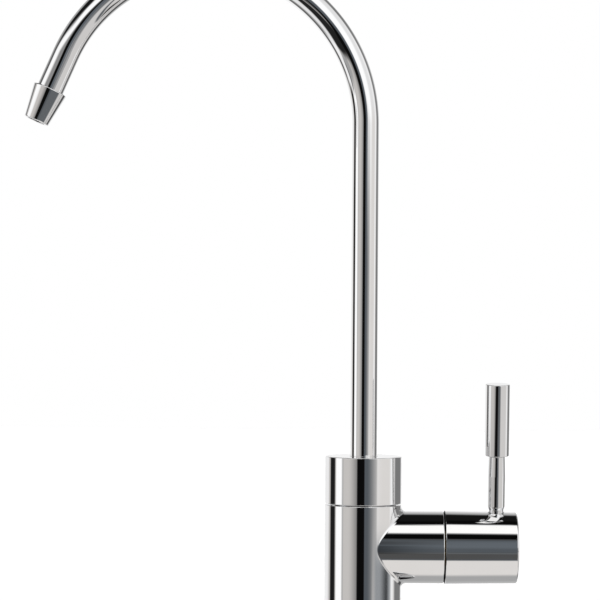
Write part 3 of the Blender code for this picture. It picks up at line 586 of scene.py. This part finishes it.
def make_nozzle(material):
    """Conical outlet, from its top rim to the lip round its mouth."""
    ledge = NOZZLE_LENGTH - NOZZLE_LEDGE
    hole = TUBE_RADIUS + RUNNING_GAP
    stop = TUBE_DEPTH_IN_NOZZLE + SEAT_GAP
    corners = [
        (hole, 0.0, EDGE_ROUND),
        (hole, stop, FINE_ROUND),
        (NOZZLE_ROOM_RADIUS, stop, FINE_ROUND),
        (NOZZLE_ROOM_RADIUS, ledge, FINE_ROUND),
        (NOZZLE_MOUTH_RADIUS, ledge, FINE_ROUND),
        (NOZZLE_MOUTH_RADIUS, NOZZLE_LENGTH, EDGE_ROUND),
        (NOZZLE_TIP_RADIUS, NOZZLE_LENGTH, NOZZLE_ROUND),
        (NOZZLE_TOP_RADIUS, 0.0, NOZZLE_ROUND),
    ]
    return turned("nozzle_cone", corners[::-1], material, place=nozzle_place())


def make_straightener(material):
    """The flow straightener: a disc with round holes, its edges a little rounded."""
    high = NOZZLE_LENGTH - NOZZLE_LEDGE - SEAT_GAP
    low = high - STRAIGHTENER_THICKNESS
    edge = STRAIGHTENER_ROUND
    skin = Skin()
    corners = []
    sides = []
    low_face = []
    high_face = []

    def wall(centre, radius, count, outward):
        """A round wall between both faces; outward is 1 on the disc's rim and -1 in a hole."""
        inset = radius - outward * 2 * edge
        section = [(inset, low, 0.0), (radius, low, edge), (radius, high, edge), (inset, high, 0.0)]
        rows = []
        for place, normal in rounded(section[::outward], closed=False)[1:-1]:
            rows.append([skin.swept(place, normal, angle, centre) for angle in even_angles(count)])
        skin.loft(rows)
        first = len(corners)
        corners.extend(Vector(skin.points[index][:2]) for index in rows[0])
        sides.extend((first + side, first + (side + 1) % count) for side in range(count))
        low_face.extend(rows[::outward][0])
        high_face.extend(rows[::outward][-1])

    middle = Vector((0.0, 0.0))
    holes = [middle]
    for angle in even_angles(STRAIGHTENER_HOLES_AROUND):
        holes.append(STRAIGHTENER_HOLE_CIRCLE * Vector((cos(angle), sin(angle))))
    wall(middle, NOZZLE_ROOM_RADIUS - SEAT_GAP, TUBE_SIDES, 1)
    for hole in holes:
        wall(hole, STRAIGHTENER_HOLE_RADIUS, HOLE_SIDES, -1)
    # Triangles inside the rim, which cover the holes as well
    inside = 1
    spread = delaunay_2d_cdt(corners, sides, [], inside, SAME_PLACE)
    given = [origins[0] for origins in spread[3]]
    opening = (STRAIGHTENER_HOLE_RADIUS + edge) * cos(pi / HOLE_SIDES)
    for face in spread[2]:
        ring = [given[index] for index in face]
        a, b, c = (corners[index] for index in ring)
        if min(((a + b + c) / 3 - hole).length for hole in holes) < opening:
            continue
        if (b - a).cross(c - a) < 0:
            ring.reverse()
        skin.faces.append([high_face[index] for index in ring])
        skin.faces.append([low_face[index] for index in reversed(ring)])
    return skin.make("straightener_disc", material, nozzle_place())


def make_knob(material, painted_shade):
    """The knob, turned about the barrel's axis, with a rounded hole for the lever in its side."""
    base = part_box("handle_knob")[0].x
    end = base + KNOB_LENGTH
    lever = end - LEVER_FROM_KNOB_END
    slope = (KNOB_SEAM_RADIUS - KNOB_END_RADIUS) / KNOB_LENGTH
    tilt = Vector((1.0, slope)).normalized()

    def wall_radius(x):
        return KNOB_SEAM_RADIUS - slope * (x - base)

    def knob_wall(angle, x):
        radius = wall_radius(x)
        point = (-radius * cos(angle), -radius * sin(angle), x)
        return point, (-tilt.x * cos(angle), -tilt.x * sin(angle), tilt.y)

    outline = rounded(
        [
            (0.0, base + KNOB_CAVITY_DEPTH, 0.0),
            (KNOB_CAVITY_RADIUS, base + KNOB_CAVITY_DEPTH, FINE_ROUND),
            (KNOB_CAVITY_RADIUS, base, FINE_ROUND),
            (KNOB_SEAM_RADIUS - EDGE_ROUND, base, 0.0),
        ],
        closed=False,
    )
    # The cavity, the face at the seam and half of the seam's rounded edge get the painted shade, which
    # darkens and widens the seam's line
    shaded_rows = len(outline) + ROUND_STEPS // 2
    outline += rounded_corner((KNOB_SEAM_RADIUS, base), (1, 0), (0, 1), EDGE_ROUND)[1:-1]
    wall_low = base + EDGE_ROUND
    window_low = lever - KNOB_WINDOW_HALF
    for step in range(KNOB_WALL_STEPS):
        x = wall_low + (window_low - wall_low) * step / KNOB_WALL_STEPS
        outline.append((Vector((wall_radius(x), x)), tilt))
    first_row = len(outline)
    for step in range(KNOB_WINDOW_STEPS + 1):
        x = window_low + 2 * KNOB_WINDOW_HALF * step / KNOB_WINDOW_STEPS
        outline.append((Vector((wall_radius(x), x)), tilt))
    window = (first_row, len(outline) - 1, KNOB_WINDOW_STEPS)
    outline += rounded_corner((KNOB_END_RADIUS, end), (0, 1), (-1, 0), KNOB_EDGE_ROUND, KNOB_EDGE_STEPS)
    outline.append((Vector((0.0, end)), Vector((0.0, 1.0))))

    half_angle = KNOB_WINDOW_HALF / KNOB_SEAM_RADIUS
    angles = window_angles(half_angle, KNOB_WINDOW_STEPS, KNOB_SIDES_OUTSIDE, middle=pi)
    skin = Skin()
    rows = spin(skin, outline, angles, closed=False, window=window)
    reach = LEVER_HOLE_RADIUS + EDGE_ROUND
    turns = rim_turns(KNOB_WINDOW_STEPS)
    rim_places = []
    for turn in turns:
        across = reach * cos(turn)
        x = lever + reach * sin(turn)
        rim_places.append((atan2(across, sqrt(wall_radius(x) ** 2 - across**2)), x))
    hole = [fill_window(skin, rows, window, knob_wall, rim_places, KNOB_WINDOW_RINGS, facing=-1)]

    def hole_row(bend, floor=False):
        """Vertices round the hole, at a bend over its rounded edge or at its floor."""
        row = []
        for turn, place in zip(turns, rim_places):
            start, outward = (Vector(part) for part in knob_wall(*place))
            sideways = Vector((0.0, -cos(turn), sin(turn)))
            point = start - sideways * EDGE_ROUND * sin(bend)
            if floor:
                point.x = -LEVER_HOLE_FLOOR
                normal = -sideways
            else:
                point -= outward * EDGE_ROUND * (1 - cos(bend))
                normal = outward * cos(bend) - sideways * sin(bend)
            row.append(skin.vertex(point, normal))
        return row

    hole += [hole_row(pi / 2 * step / ROUND_STEPS) for step in range(1, ROUND_STEPS + 1)]
    hole.append(hole_row(pi / 2, floor=True))
    hole.append([skin.vertex((-LEVER_HOLE_FLOOR, 0.0, lever), (-1.0, 0.0, 0.0))])
    skin.loft(hole)
    skin.painted_shade = (0, shaded_rows * len(angles))
    return skin.make("knob_shell", material, KNOB, painted_shade)


def lever_place():
    """Where the lever stands: on the barrel's axis, leaning with the handle."""
    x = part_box("handle_knob")[1].x - LEVER_FROM_KNOB_END
    return HANDLE @ Matrix.Translation((x, 0.0, 0.0))


def make_rod(material):
    """The lever's rod, from its foot in the knob to the tenon in its sleeve."""
    shoulder = SLEEVE_BOTTOM - SEAT_GAP
    tenon_radius = SLEEVE_BORE_RADIUS - TENON_GAP
    tenon_top = SLEEVE_BOTTOM + SLEEVE_LENGTH - SLEEVE_TOP_WALL - SEAT_GAP
    corners = [
        (0.0, LEVER_FOOT, 0.0),
        (LEVER_NECK_RADIUS, LEVER_FOOT, EDGE_ROUND),
        (LEVER_NECK_RADIUS, LEVER_NECK_TOP, LEVER_NECK_ROUND),
        (LEVER_RADIUS, LEVER_NECK_TOP + LEVER_NECK_TAPER, LEVER_NECK_ROUND),
        (LEVER_RADIUS, shoulder - LEVER_WAIST_LENGTH, LEVER_WAIST_ROUND),
        (LEVER_WAIST_RADIUS, shoulder, FINE_ROUND),
        (tenon_radius, shoulder, FINE_ROUND),
        (tenon_radius, tenon_top, EDGE_ROUND),
        (0.0, tenon_top, 0.0),
    ]
    return turned("lever_pin", corners, material, closed=False, sides=PIN_SIDES, place=lever_place())


def make_sleeve(material):
    """The sleeve on the rod's upper end, with a blind bore."""
    top = SLEEVE_BOTTOM + SLEEVE_LENGTH
    ceiling = top - SLEEVE_TOP_WALL
    corners = [
        (0.0, ceiling, 0.0),
        (SLEEVE_BORE_RADIUS, ceiling, FINE_ROUND),
        (SLEEVE_BORE_RADIUS, SLEEVE_BOTTOM, FINE_ROUND),
        (SLEEVE_RADIUS, SLEEVE_BOTTOM, EDGE_ROUND),
        (SLEEVE_RADIUS, top, EDGE_ROUND),
        (0.0, top, 0.0),
    ]
    return turned("lever_grip", corners, material, closed=False, place=lever_place())


def make_flange(material):
    """The foot flange, with a seat for the body above and room for the gasket below."""
    low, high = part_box("base_flange")
    radius = high.x
    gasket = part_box("base_gasket")
    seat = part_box("faucet_body")[0].z - SEAT_GAP
    column = -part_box("faucet_body")[0].x + SEAT_GAP
    hole = WASHER_BORE_RADIUS
    room_radius = gasket[1].x + SEAT_GAP
    room_top = gasket[1].z + SEAT_GAP
    corners = [
        (hole, room_top, FINE_ROUND),
        (room_radius, room_top, FINE_ROUND),
        (room_radius, low.z, FINE_ROUND),
        (radius, low.z, EDGE_ROUND),
        (radius, high.z, FLANGE_ROUND),
        (column, high.z, EDGE_ROUND),
        (column, seat, FINE_ROUND),
        (hole, seat, FINE_ROUND),
    ]
    return turned("foot_flange", corners, material, sides=COLUMN_SIDES)


def make_ring(name, node, inner, rounding, material):
    """A flat ring whose size is its node's."""
    low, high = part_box(node)
    corners = [
        (inner, low.z, rounding),
        (high.x, low.z, rounding),
        (high.x, high.z, rounding),
        (inner, high.z, rounding),
    ]
    return turned(name, corners, material)


def make_shank(material):
    """The threaded shank: a helical ridge outside, a plain bore and chamfered ends."""
    low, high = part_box("threaded_shank")
    radius = high.x
    length = high.z - low.z
    count = ceil(length / THREAD_PITCH * THREAD_STEPS)
    near = THREAD_PITCH / 100

    def ridge(angle, height):
        """Radius of the thread, with smooth flanks between its crest and its root."""
        turn = (height / THREAD_PITCH - angle / (2 * pi)) % 1.0
        flank = min(1.0, max(0.0, (abs(2 * turn - 1) - THREAD_FLAT) / (1 - 2 * THREAD_FLAT)))
        from_end = min(height - low.z, high.z - height)
        depth = THREAD_DEPTH * flank * flank * (3 - 2 * flank)
        return min(radius - depth, radius - SHANK_CHAMFER + from_end)

    skin = Skin()
    thread = []
    for step in range(count + 1):
        height = low.z + length * step / count
        row = []
        for angle in even_angles(THREAD_SIDES):
            reach = ridge(angle, height)
            slope = (ridge(angle, height + near) - ridge(angle, height - near)) / (2 * near)
            point = (reach * cos(angle), reach * sin(angle), height)
            row.append(skin.vertex(point, Vector((cos(angle), sin(angle), -slope)).normalized()))
        thread.append(row)
    rim = radius - SHANK_CHAMFER - FINE_ROUND
    inside = [
        (rim, high.z, 0.0),
        (SHANK_BORE_RADIUS, high.z, EDGE_ROUND),
        (SHANK_BORE_RADIUS, low.z, EDGE_ROUND),
        (rim, low.z, 0.0),
    ]
    bore = spin(skin, rounded(inside, closed=False), even_angles(THREAD_SIDES), closed=False)
    skin.loft([bore[-1], *thread, bore[0]])
    return skin.make("shank_thread", material)


def make_nut(material):
    """The hexagon nut: six flats with rounded corners, turned off at both faces, and a plain bore."""
    low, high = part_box("mounting_nut")
    corner = NUT_ACROSS_FLATS / 2 / cos(pi / 6)
    turns = [pi / 6 + pi / 3 * k for k in range(6)]
    arcs = rounded([(corner * cos(turn), corner * sin(turn), NUT_CORNER_ROUND) for turn in turns])
    outline = []
    for (point, normal), (after, next_normal) in zip(arcs, arcs[1:] + arcs[:1]):
        outline.append((point, normal))
        if normal.angle(next_normal) < STRAIGHT:
            steps = [step / NUT_FLAT_STEPS for step in range(1, NUT_FLAT_STEPS)]
            outline += [(point.lerp(after, share), normal) for share in steps]
    face = NUT_ACROSS_FLATS / 2 * NUT_FACE_SHARE
    edge = FINE_ROUND
    tilt_out = sin(NUT_CHAMFER)
    tilt_up = cos(NUT_CHAMFER)
    skin = Skin()

    def circle(radius, height, outward, upward):
        """A round row, with a vertex below or above each of the outline's."""
        row = []
        for point, _ in outline:
            way = point.normalized()
            normal = (way.x * outward, way.y * outward, upward)
            row.append(skin.vertex((way.x * radius, way.y * radius, height), normal))
        return row

    def side(base, sign):
        """The turned-off edge at one face: its cone's upper row and the flats' first row."""
        cone = []
        flats = []
        for point, normal in outline:
            way = point.normalized()
            rise = (point.length - face) * tan(NUT_CHAMFER)
            cone_point = point - way * edge
            cone_height = base + sign * (rise - edge * tan(NUT_CHAMFER))
            cone_normal = (way.x * tilt_out, way.y * tilt_out, -sign * tilt_up)
            cone.append(skin.vertex((*cone_point, cone_height), cone_normal))
            flats.append(skin.vertex((*point, base + sign * (rise + edge)), (*normal, 0.0)))
        return cone, flats

    low_cone, low_flats = side(low.z, 1)
    high_cone, high_flats = side(high.z, -1)
    lead = NUT_BORE_RADIUS + LEAD_IN
    rows = [
        circle(lead + edge, low.z, 0.0, -1.0),
        circle(face - edge, low.z, 0.0, -1.0),
        circle(face + edge, low.z + edge * tan(NUT_CHAMFER), tilt_out, -tilt_up),
        low_cone,
        low_flats,
        high_flats,
        high_cone,
        circle(face + edge, high.z - edge * tan(NUT_CHAMFER), tilt_out, tilt_up),
        circle(face - edge, high.z, 0.0, 1.0),
        circle(lead + edge, high.z, 0.0, 1.0),
        circle(lead - edge, high.z - edge, -1.0, 1.0),
        circle(NUT_BORE_RADIUS, high.z - LEAD_IN, -1.0, 1.0),
        circle(NUT_BORE_RADIUS, high.z - LEAD_IN - edge, -1.0, 0.0),
        circle(NUT_BORE_RADIUS, low.z + LEAD_IN + edge, -1.0, 0.0),
        circle(NUT_BORE_RADIUS, low.z + LEAD_IN, -1.0, -1.0),
        circle(lead - edge, low.z + edge, -1.0, -1.0),
    ]
    skin.loft(rows, closed=True)
    return skin.make("hexagon_nut", material)


def make_lock_washer(material):
    """The split washer: a rounded section led round the shank, with two plain ends."""
    low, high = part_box("lock_washer")
    inner = WASHER_BORE_RADIUS
    outer = -low.x
    outline = rounded(
        [
            (inner, low.z, LOCK_WASHER_ROUND),
            (outer, low.z, LOCK_WASHER_ROUND),
            (outer, high.z, LOCK_WASHER_ROUND),
            (inner, high.z, LOCK_WASHER_ROUND),
        ]
    )
    middle = Vector(((inner + outer) / 2, (low.z + high.z) / 2))
    start = LOCK_WASHER_CUT / 2 / inner
    sweep = 2 * pi - 2 * start
    skin = Skin()

    def end(angle, facing):
        """Two rows of an end: the section drawn in towards its middle, and the middle."""
        normal = (-sin(angle) * facing, cos(angle) * facing, 0.0)
        row = []
        for place, _ in outline:
            place = middle.lerp(place, LOCK_WASHER_END_SHARE)
            row.append(skin.vertex((place.x * cos(angle), place.x * sin(angle), place.y), normal))
        return [row, [skin.vertex((middle.x * cos(angle), middle.x * sin(angle), middle.y), normal)]]

    around = []
    for step in range(LOCK_WASHER_STEPS + 1):
        angle = start + sweep * step / LOCK_WASHER_STEPS
        around.append([skin.swept(place, normal, angle) for place, normal in outline])
    skin.loft([*end(start, -1)[::-1], *around, *end(start + sweep, 1)])
    return skin.make("split_washer", material)


def new_material(name, metallic=0.0):
    """A material with its node tree and its shader."""
    material = bpy.data.materials.new(name)
    material.use_nodes = True
    shader = material.node_tree.nodes["Principled BSDF"]
    shader.inputs["Metallic"].default_value = metallic
    return material, material.node_tree, shader


def noise(tree, scale, detail):
    """Noise in the object's own coordinates."""
    place = tree.nodes.new("ShaderNodeTexCoord")
    texture = tree.nodes.new("ShaderNodeTexNoise")
    texture.inputs["Scale"].default_value = scale
    texture.inputs["Detail"].default_value = detail
    tree.links.new(place.outputs["Object"], texture.inputs["Vector"])
    return texture.outputs["Fac"]


def between(tree, share, low, high):
    """A value that goes from low to high with a share."""
    ramp = tree.nodes.new("ShaderNodeMapRange")
    ramp.inputs["To Min"].default_value = low
    ramp.inputs["To Max"].default_value = high
    tree.links.new(share, ramp.inputs["Value"])
    return ramp.outputs["Result"]


def blend(tree, share, dark, light, spread):
    """A colour that goes from dark to light while a share goes over the middle spread of its range."""
    ramp = tree.nodes.new("ShaderNodeValToRGB")
    first, last = ramp.color_ramp.elements
    first.position = 0.5 - spread / 2
    first.color = (*dark, 1.0)
    last.position = 0.5 + spread / 2
    last.color = (*light, 1.0)
    tree.links.new(share, ramp.inputs["Fac"])
    return ramp.outputs["Color"]


def chrome_material(name, tint, roughness, film_scale=90.0, film_shade=0.985):
    """Polished chrome: bright metal with the faint unevenness of a plated surface."""
    material, tree, shader = new_material(name, metallic=1.0)
    film = noise(tree, film_scale, detail=3.0)
    gloss = between(tree, film, roughness * 0.8, roughness * 1.3)
    colour = blend(tree, film, [level * film_shade for level in tint], tint, spread=0.3)
    tree.links.new(gloss, shader.inputs["Roughness"])
    tree.links.new(colour, shader.inputs["Base Color"])
    return material


def grained_material(name, dark, light, roughness, scale, bump, metallic=0.0):
    """A material with a fine grain in its colour, gloss and relief."""
    material, tree, shader = new_material(name, metallic)
    grain = noise(tree, scale, detail=6.0)
    gloss = between(tree, grain, roughness * 0.85, roughness * 1.15)
    relief = tree.nodes.new("ShaderNodeBump")
    relief.inputs["Strength"].default_value = bump
    relief.inputs["Distance"].default_value = GRAIN_HEIGHT
    tree.links.new(grain, relief.inputs["Height"])
    tree.links.new(gloss, shader.inputs["Roughness"])
    tree.links.new(blend(tree, grain, dark, light, spread=0.4), shader.inputs["Base Color"])
    tree.links.new(relief.outputs["Normal"], shader.inputs["Normal"])
    return material


def calc(tree, operation, first, second=None, third=None):
    """One Math node. Arguments are sockets or numbers."""
    made = tree.nodes.new("ShaderNodeMath")
    made.operation = operation
    for socket, value in zip(made.inputs, (first, second, third)):
        if value is None:
            continue
        if isinstance(value, (int, float)):
            socket.default_value = value
        else:
            tree.links.new(value, socket)
    return made.outputs[0]


def shade(level):
    """Linear value of a display level from 0 to 255, by the usual display curve."""
    value = level / 255
    return value / 12.92 if value <= 0.04045 else ((value + 0.055) / 1.055) ** 2.4


def grey(level, warm=0):
    """A card's colour from the level it shows in the chrome; warm shifts red up and blue down."""
    return [shade(min(255, level + shift)) / CHROME_LEVEL for shift in (warm, 0, -warm)]


class Studio:
    """The studio as seen in the chrome: cards painted on a dome by azimuth and elevation.

    Azimuth is counted in degrees from the camera's side towards +X, elevation upwards. A later
    card covers an earlier one.
    """

    # Sockets of the node that mixes two colours, where one name stands for several sockets
    BELOW = 6
    ABOVE = 7
    MIXED = 2

    def __init__(self, tree, base):
        self.tree = tree
        way = tree.nodes.new("ShaderNodeTexCoord")
        split = tree.nodes.new("ShaderNodeSeparateXYZ")
        tree.links.new(way.outputs["Generated"], split.inputs[0])
        x, y, z = split.outputs
        to_degrees = 180 / pi
        away = calc(tree, "MULTIPLY", y, -1.0)
        self.azimuth = calc(tree, "MULTIPLY", calc(tree, "ARCTAN2", x, away), to_degrees)
        self.elevation = calc(tree, "MULTIPLY", calc(tree, "ARCSINE", z), to_degrees)
        self.colour = tree.nodes.new("ShaderNodeRGB").outputs[0]
        self.colour.default_value = (*base, 1.0)

    def edge(self, value, at, soft, rising):
        """A soft step in an angle."""
        ramp = self.tree.nodes.new("ShaderNodeMapRange")
        ramp.interpolation_type = "SMOOTHSTEP"
        ramp.inputs["From Min"].default_value = at - soft
        ramp.inputs["From Max"].default_value = at + soft
        ramp.inputs["To Min"].default_value = 0.0 if rising else 1.0
        ramp.inputs["To Max"].default_value = 1.0 if rising else 0.0
        self.tree.links.new(value, ramp.inputs["Value"])
        return ramp.outputs["Result"]

    def leaned(self, slant):
        """Azimuth shifted by slant degrees per degree of elevation."""
        if not slant:
            return self.azimuth
        return calc(self.tree, "MULTIPLY_ADD", self.elevation, slant, self.azimuth)

    def card(self, azimuths, elevations, colour, soft, slants=(0.0, 0.0), soft_sides=None):
        """Paint a card over what is there.

        Each of its two sides may lean, and its azimuths are those at the horizon.
        """
        tree = self.tree
        sides = soft_sides or (soft, soft)
        masks = []
        if azimuths:
            masks.append(self.edge(self.leaned(slants[0]), azimuths[0], sides[0], True))
            masks.append(self.edge(self.leaned(slants[1]), azimuths[1], sides[1], False))
        if elevations[0] > -90:
            masks.append(self.edge(self.elevation, elevations[0], soft, True))
        if elevations[1] < 90:
            masks.append(self.edge(self.elevation, elevations[1], soft, False))
        mask = masks[0]
        for other in masks[1:]:
            mask = calc(tree, "MULTIPLY", mask, other)
        mix = tree.nodes.new("ShaderNodeMix")
        mix.data_type = "RGBA"
        tree.links.new(mask, mix.inputs["Factor"])
        tree.links.new(self.colour, mix.inputs[self.BELOW])
        mix.inputs[self.ABOVE].default_value = (*colour, 1.0)
        self.colour = mix.outputs[self.MIXED]


def paint_studio(card):
    """Paint the cards, each over those before it."""
    # behind, above and below
    card(None, (-60, 90), grey(178), 10)
    card(None, (-16, 27), grey(232), 10)
    card(None, (52, 90), grey(8), 8)
    card((150, 260), (46, 90), grey(20), 9)
    card((110, 260), (-82, -44), grey(163), 7)
    # right side: slate in front, a light wall with softboxes beyond, a grey corner at the back
    card((-13, 40), (-38, 30), grey(86, -5), 2.5)
    card((-13, 9), (-34, -12), grey(77), 4)
    card((-13, 12), (2, 23), grey(101, -6), 6)
    card((35, 106), (-64, 46), grey(212, 3), 4, soft_sides=(27, 6))
    card((40, 104), (7, 46), grey(224), 5, soft_sides=(8, 4))
    card((26, 118), (-46, -7), grey(200, 2), 3, soft_sides=(4, 5))
    card((87, 101), (-22, 34), grey(238), 5)
    card((107, 150), (-14, 46), grey(119), 5)
    card((118, 144), (-50, -12), grey(78), 5)
    card((136, 158), (2, 24), grey(196), 5)
    card((-53, -37), (-32, -13), grey(98, -3), 2, slants=(3.7, 3.7), soft_sides=(4, 4))
    card((66, 84), (-44, -33.5), grey(60), 2)
    card((16, 54), (3.5, 80), grey(254), 3, soft_sides=(3, 9))
    card((33, 90), (-7.4, -5.5), grey(146, -3), 0.5, soft_sides=(7, 6))
    card((60, 80), (-7.4, -5.8), grey(72, -2), 0.3, soft_sides=(13, 6))
    # left side: a warm wall with a bright softbox and a raised white ceiling
    card((-128, -12), (-90, 28), grey(191, 3), 4)
    card((-118, -6), (28, 54), grey(253), 3)
    card((-106, -60), (14, 32), grey(253), 4, slants=(-0.3, 0))
    card((-50, -10), (17, 27), grey(138), 3)
    card((-20, 2), (12, 27), grey(60), 5)
    card((-76, -53), (38, 46), grey(190), 3)
    card((-300, -134), (22, 75), grey(30), 4, slants=(0, -1.25), soft_sides=(5, 9))
    card((-300, -186), (34, 75), grey(24), 4, slants=(0, -2.8), soft_sides=(5, 18))
    card((-122, -102), (21, 33), grey(84), 4)
    card((-170, -124), (14, 40), grey(168), 5, soft_sides=(4, 9))
    card((-133, -114), (11, 22), grey(112), 4)
    card((-92, -69), (-11, 16), grey(254), 4)
    card((-68, -64), (-11, 8), grey(168), 2)
    card((-86, -44), (-27, -13), grey(158), 3)
    card((-29, -8), (-18, 14), grey(105), 3, soft_sides=(20, 2))
    card((11, -14), (-50, -9), grey(34), 3, slants=(-2.73, 0), soft_sides=(7, 3))
    card((-112, -115), (-80, -26), grey(226), 3, slants=(0, 1.37), soft_sides=(6, 10))
    card((-112, -97), (-74, -33), grey(150), 7)
    card((-109, -86), (-34, -11), grey(241), 4, slants=(0, 0.3))
    card((-84, -75), (-24, -10), grey(98), 3)
    card((-136, -112), (-74, -10), grey(90), 6)
    card((-190, -139), (-52, -8), grey(243), 4)
    card((-119, -95), (-11, 12), grey(28), 4)
    # overhead softbox with the black gap before it, the white floor, the black card in front
    card((-60, 26), (50, 78), grey(254, 2), 3)
    card((-9, 17), (28.5, 48), grey(8), 3.5)
    card((-12, 70), (-90, -38), grey(215, 3), 2.5)
    card((-20.5, 2), (-17, 7), grey(12), 2, soft_sides=(2, 1.6))
    card((-18, 1.5), (4, 22), grey(9), 2.5)


def make_world():
    """The studio as the chrome and the other pieces see it, and plain white behind them."""
    world = bpy.data.worlds.new("studio")
    bpy.context.scene.world = world
    world.use_nodes = True
    tree = world.node_tree
    tree.nodes.clear()
    studio = Studio(tree, grey(214, 3))
    paint_studio(studio.card)
    light = tree.nodes.new("ShaderNodeBackground")
    tree.links.new(studio.colour, light.inputs["Color"])
    plain = tree.nodes.new("ShaderNodeBackground")
    plain.inputs["Color"].default_value = (1.0, 1.0, 1.0, 1.0)
    path = tree.nodes.new("ShaderNodeLightPath")
    mix = tree.nodes.new("ShaderNodeMixShader")
    tree.links.new(path.outputs["Is Camera Ray"], mix.inputs[0])
    tree.links.new(light.outputs[0], mix.inputs[1])
    tree.links.new(plain.outputs[0], mix.inputs[2])
    out = tree.nodes.new("ShaderNodeOutputWorld")
    tree.links.new(mix.outputs[0], out.inputs["Surface"])


def make_camera():
    """The camera where the photograph's was."""
    data = bpy.data.cameras.new("photo_camera")
    data.lens = LENS
    data.sensor_width = SENSOR
    data.sensor_fit = "HORIZONTAL"
    camera = bpy.data.objects.new("photo_camera", data)
    camera.location = (CAMERA_X, -CAMERA_DISTANCE, CAMERA_Z)
    camera.rotation_euler = (pi / 2, -CAMERA_ROLL, 0.0)
    bpy.context.scene.collection.objects.link(camera)
    bpy.context.scene.camera = camera


def make_floor():
    """A plain pale floor at the height of the shank's end."""
    mesh = bpy.data.meshes.new("floor")
    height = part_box("threaded_shank")[0].z
    corners = [(x * FLOOR_HALF, y * FLOOR_HALF, height) for x, y in ((-1, -1), (1, -1), (1, 1), (-1, 1))]
    mesh.from_pydata(corners, [], [(0, 1, 2, 3)])
    floor = bpy.data.objects.new("floor", mesh)
    bpy.context.scene.collection.objects.link(floor)
    material, tree, shader = new_material("floor")
    shader.inputs["Base Color"].default_value = (FLOOR_LEVEL, FLOOR_LEVEL, FLOOR_LEVEL, 1.0)
    shader.inputs["Emission Color"].default_value = (1.0, 1.0, 1.0, 1.0)
    path = tree.nodes.new("ShaderNodeLightPath")
    glow = calc(tree, "MULTIPLY", path.outputs["Is Camera Ray"], FLOOR_GLOW)
    tree.links.new(glow, shader.inputs["Emission Strength"])
    mesh.materials.append(material)
    floor.visible_glossy = False


chrome = chrome_material("polished_chrome", (CHROME_LEVEL, CHROME_LEVEL, 0.865), 0.03)
# Near-black painted shade for the seam between barrel and knob: it goes on the body's mouth and chamber
# and on the knob's cavity and half its seam edge
seam_shade_metal = grained_material("painted_seam_shade", (0.004, 0.004, 0.004), (0.010, 0.009, 0.008), 0.6, 900.0, 0.1)
brass = grained_material(
    "machined_brass", (0.60, 0.42, 0.17), (0.78, 0.60, 0.30), 0.28, 900.0, 0.15, metallic=1.0
)
steel = grained_material(
    "satin_steel", (0.46, 0.46, 0.47), (0.64, 0.64, 0.65), 0.30, 1200.0, 0.2, metallic=1.0
)
rubber = grained_material("black_rubber", (0.012, 0.012, 0.012), (0.030, 0.030, 0.030), 0.7, 1500.0, 0.3)
ceramic = grained_material("lapped_ceramic", (0.80, 0.78, 0.72), (0.90, 0.89, 0.85), 0.25, 800.0, 0.05)
plastic = grained_material("white_plastic", (0.70, 0.70, 0.68), (0.82, 0.82, 0.80), 0.45, 700.0, 0.08)

add("faucet_body", make_body(chrome, seam_shade_metal), "body_assembly")
add("spout_collar", make_collar(chrome), "body_assembly")
add("spout_tube", make_tube(chrome), "spout")
add("outlet_nozzle", make_nozzle(chrome), "spout")
add("flow_straightener", make_straightener(plastic), "spout")
add("handle_knob", make_knob(chrome, seam_shade_metal), "handle")
add("lever_rod", make_rod(chrome), "handle")
add("lever_sleeve", make_sleeve(chrome), "handle")
add("base_flange", make_flange(chrome), "body_assembly")
gasket = make_ring("foot_gasket", "base_gasket", GASKET_HOLE_RADIUS, WASHER_ROUND, rubber)
add("base_gasket", gasket, "body_assembly")
soft_washer = make_ring("worktop_washer", "deck_washer", WASHER_BORE_RADIUS, SOFT_ROUND, rubber)
add("deck_washer", soft_washer, "body_assembly")
hard_washer = make_ring("steel_washer", "plate_washer", WASHER_BORE_RADIUS, WASHER_ROUND, steel)
add("plate_washer", hard_washer, "body_assembly")
add("threaded_shank", make_shank(brass), "body_assembly")
add("lock_washer", make_lock_washer(steel), "body_assembly")
add("mounting_nut", make_nut(brass), "body_assembly")

# The solids get their finishes too, since the inner ones show themselves
finish_of = dict(chrome=chrome, brass=brass, steel=steel, rubber=rubber, ceramic=ceramic, plastic=plastic)
for part in frame["record"]["subparts"]:
    shown = frame["nodes"][part["node"]]
    shown.data.materials.clear()
    shown.data.materials.append(finish_of[part["material_slot"]])

make_floor()
make_camera()
make_world()
bpy.context.scene.view_settings.view_transform = "Standard"
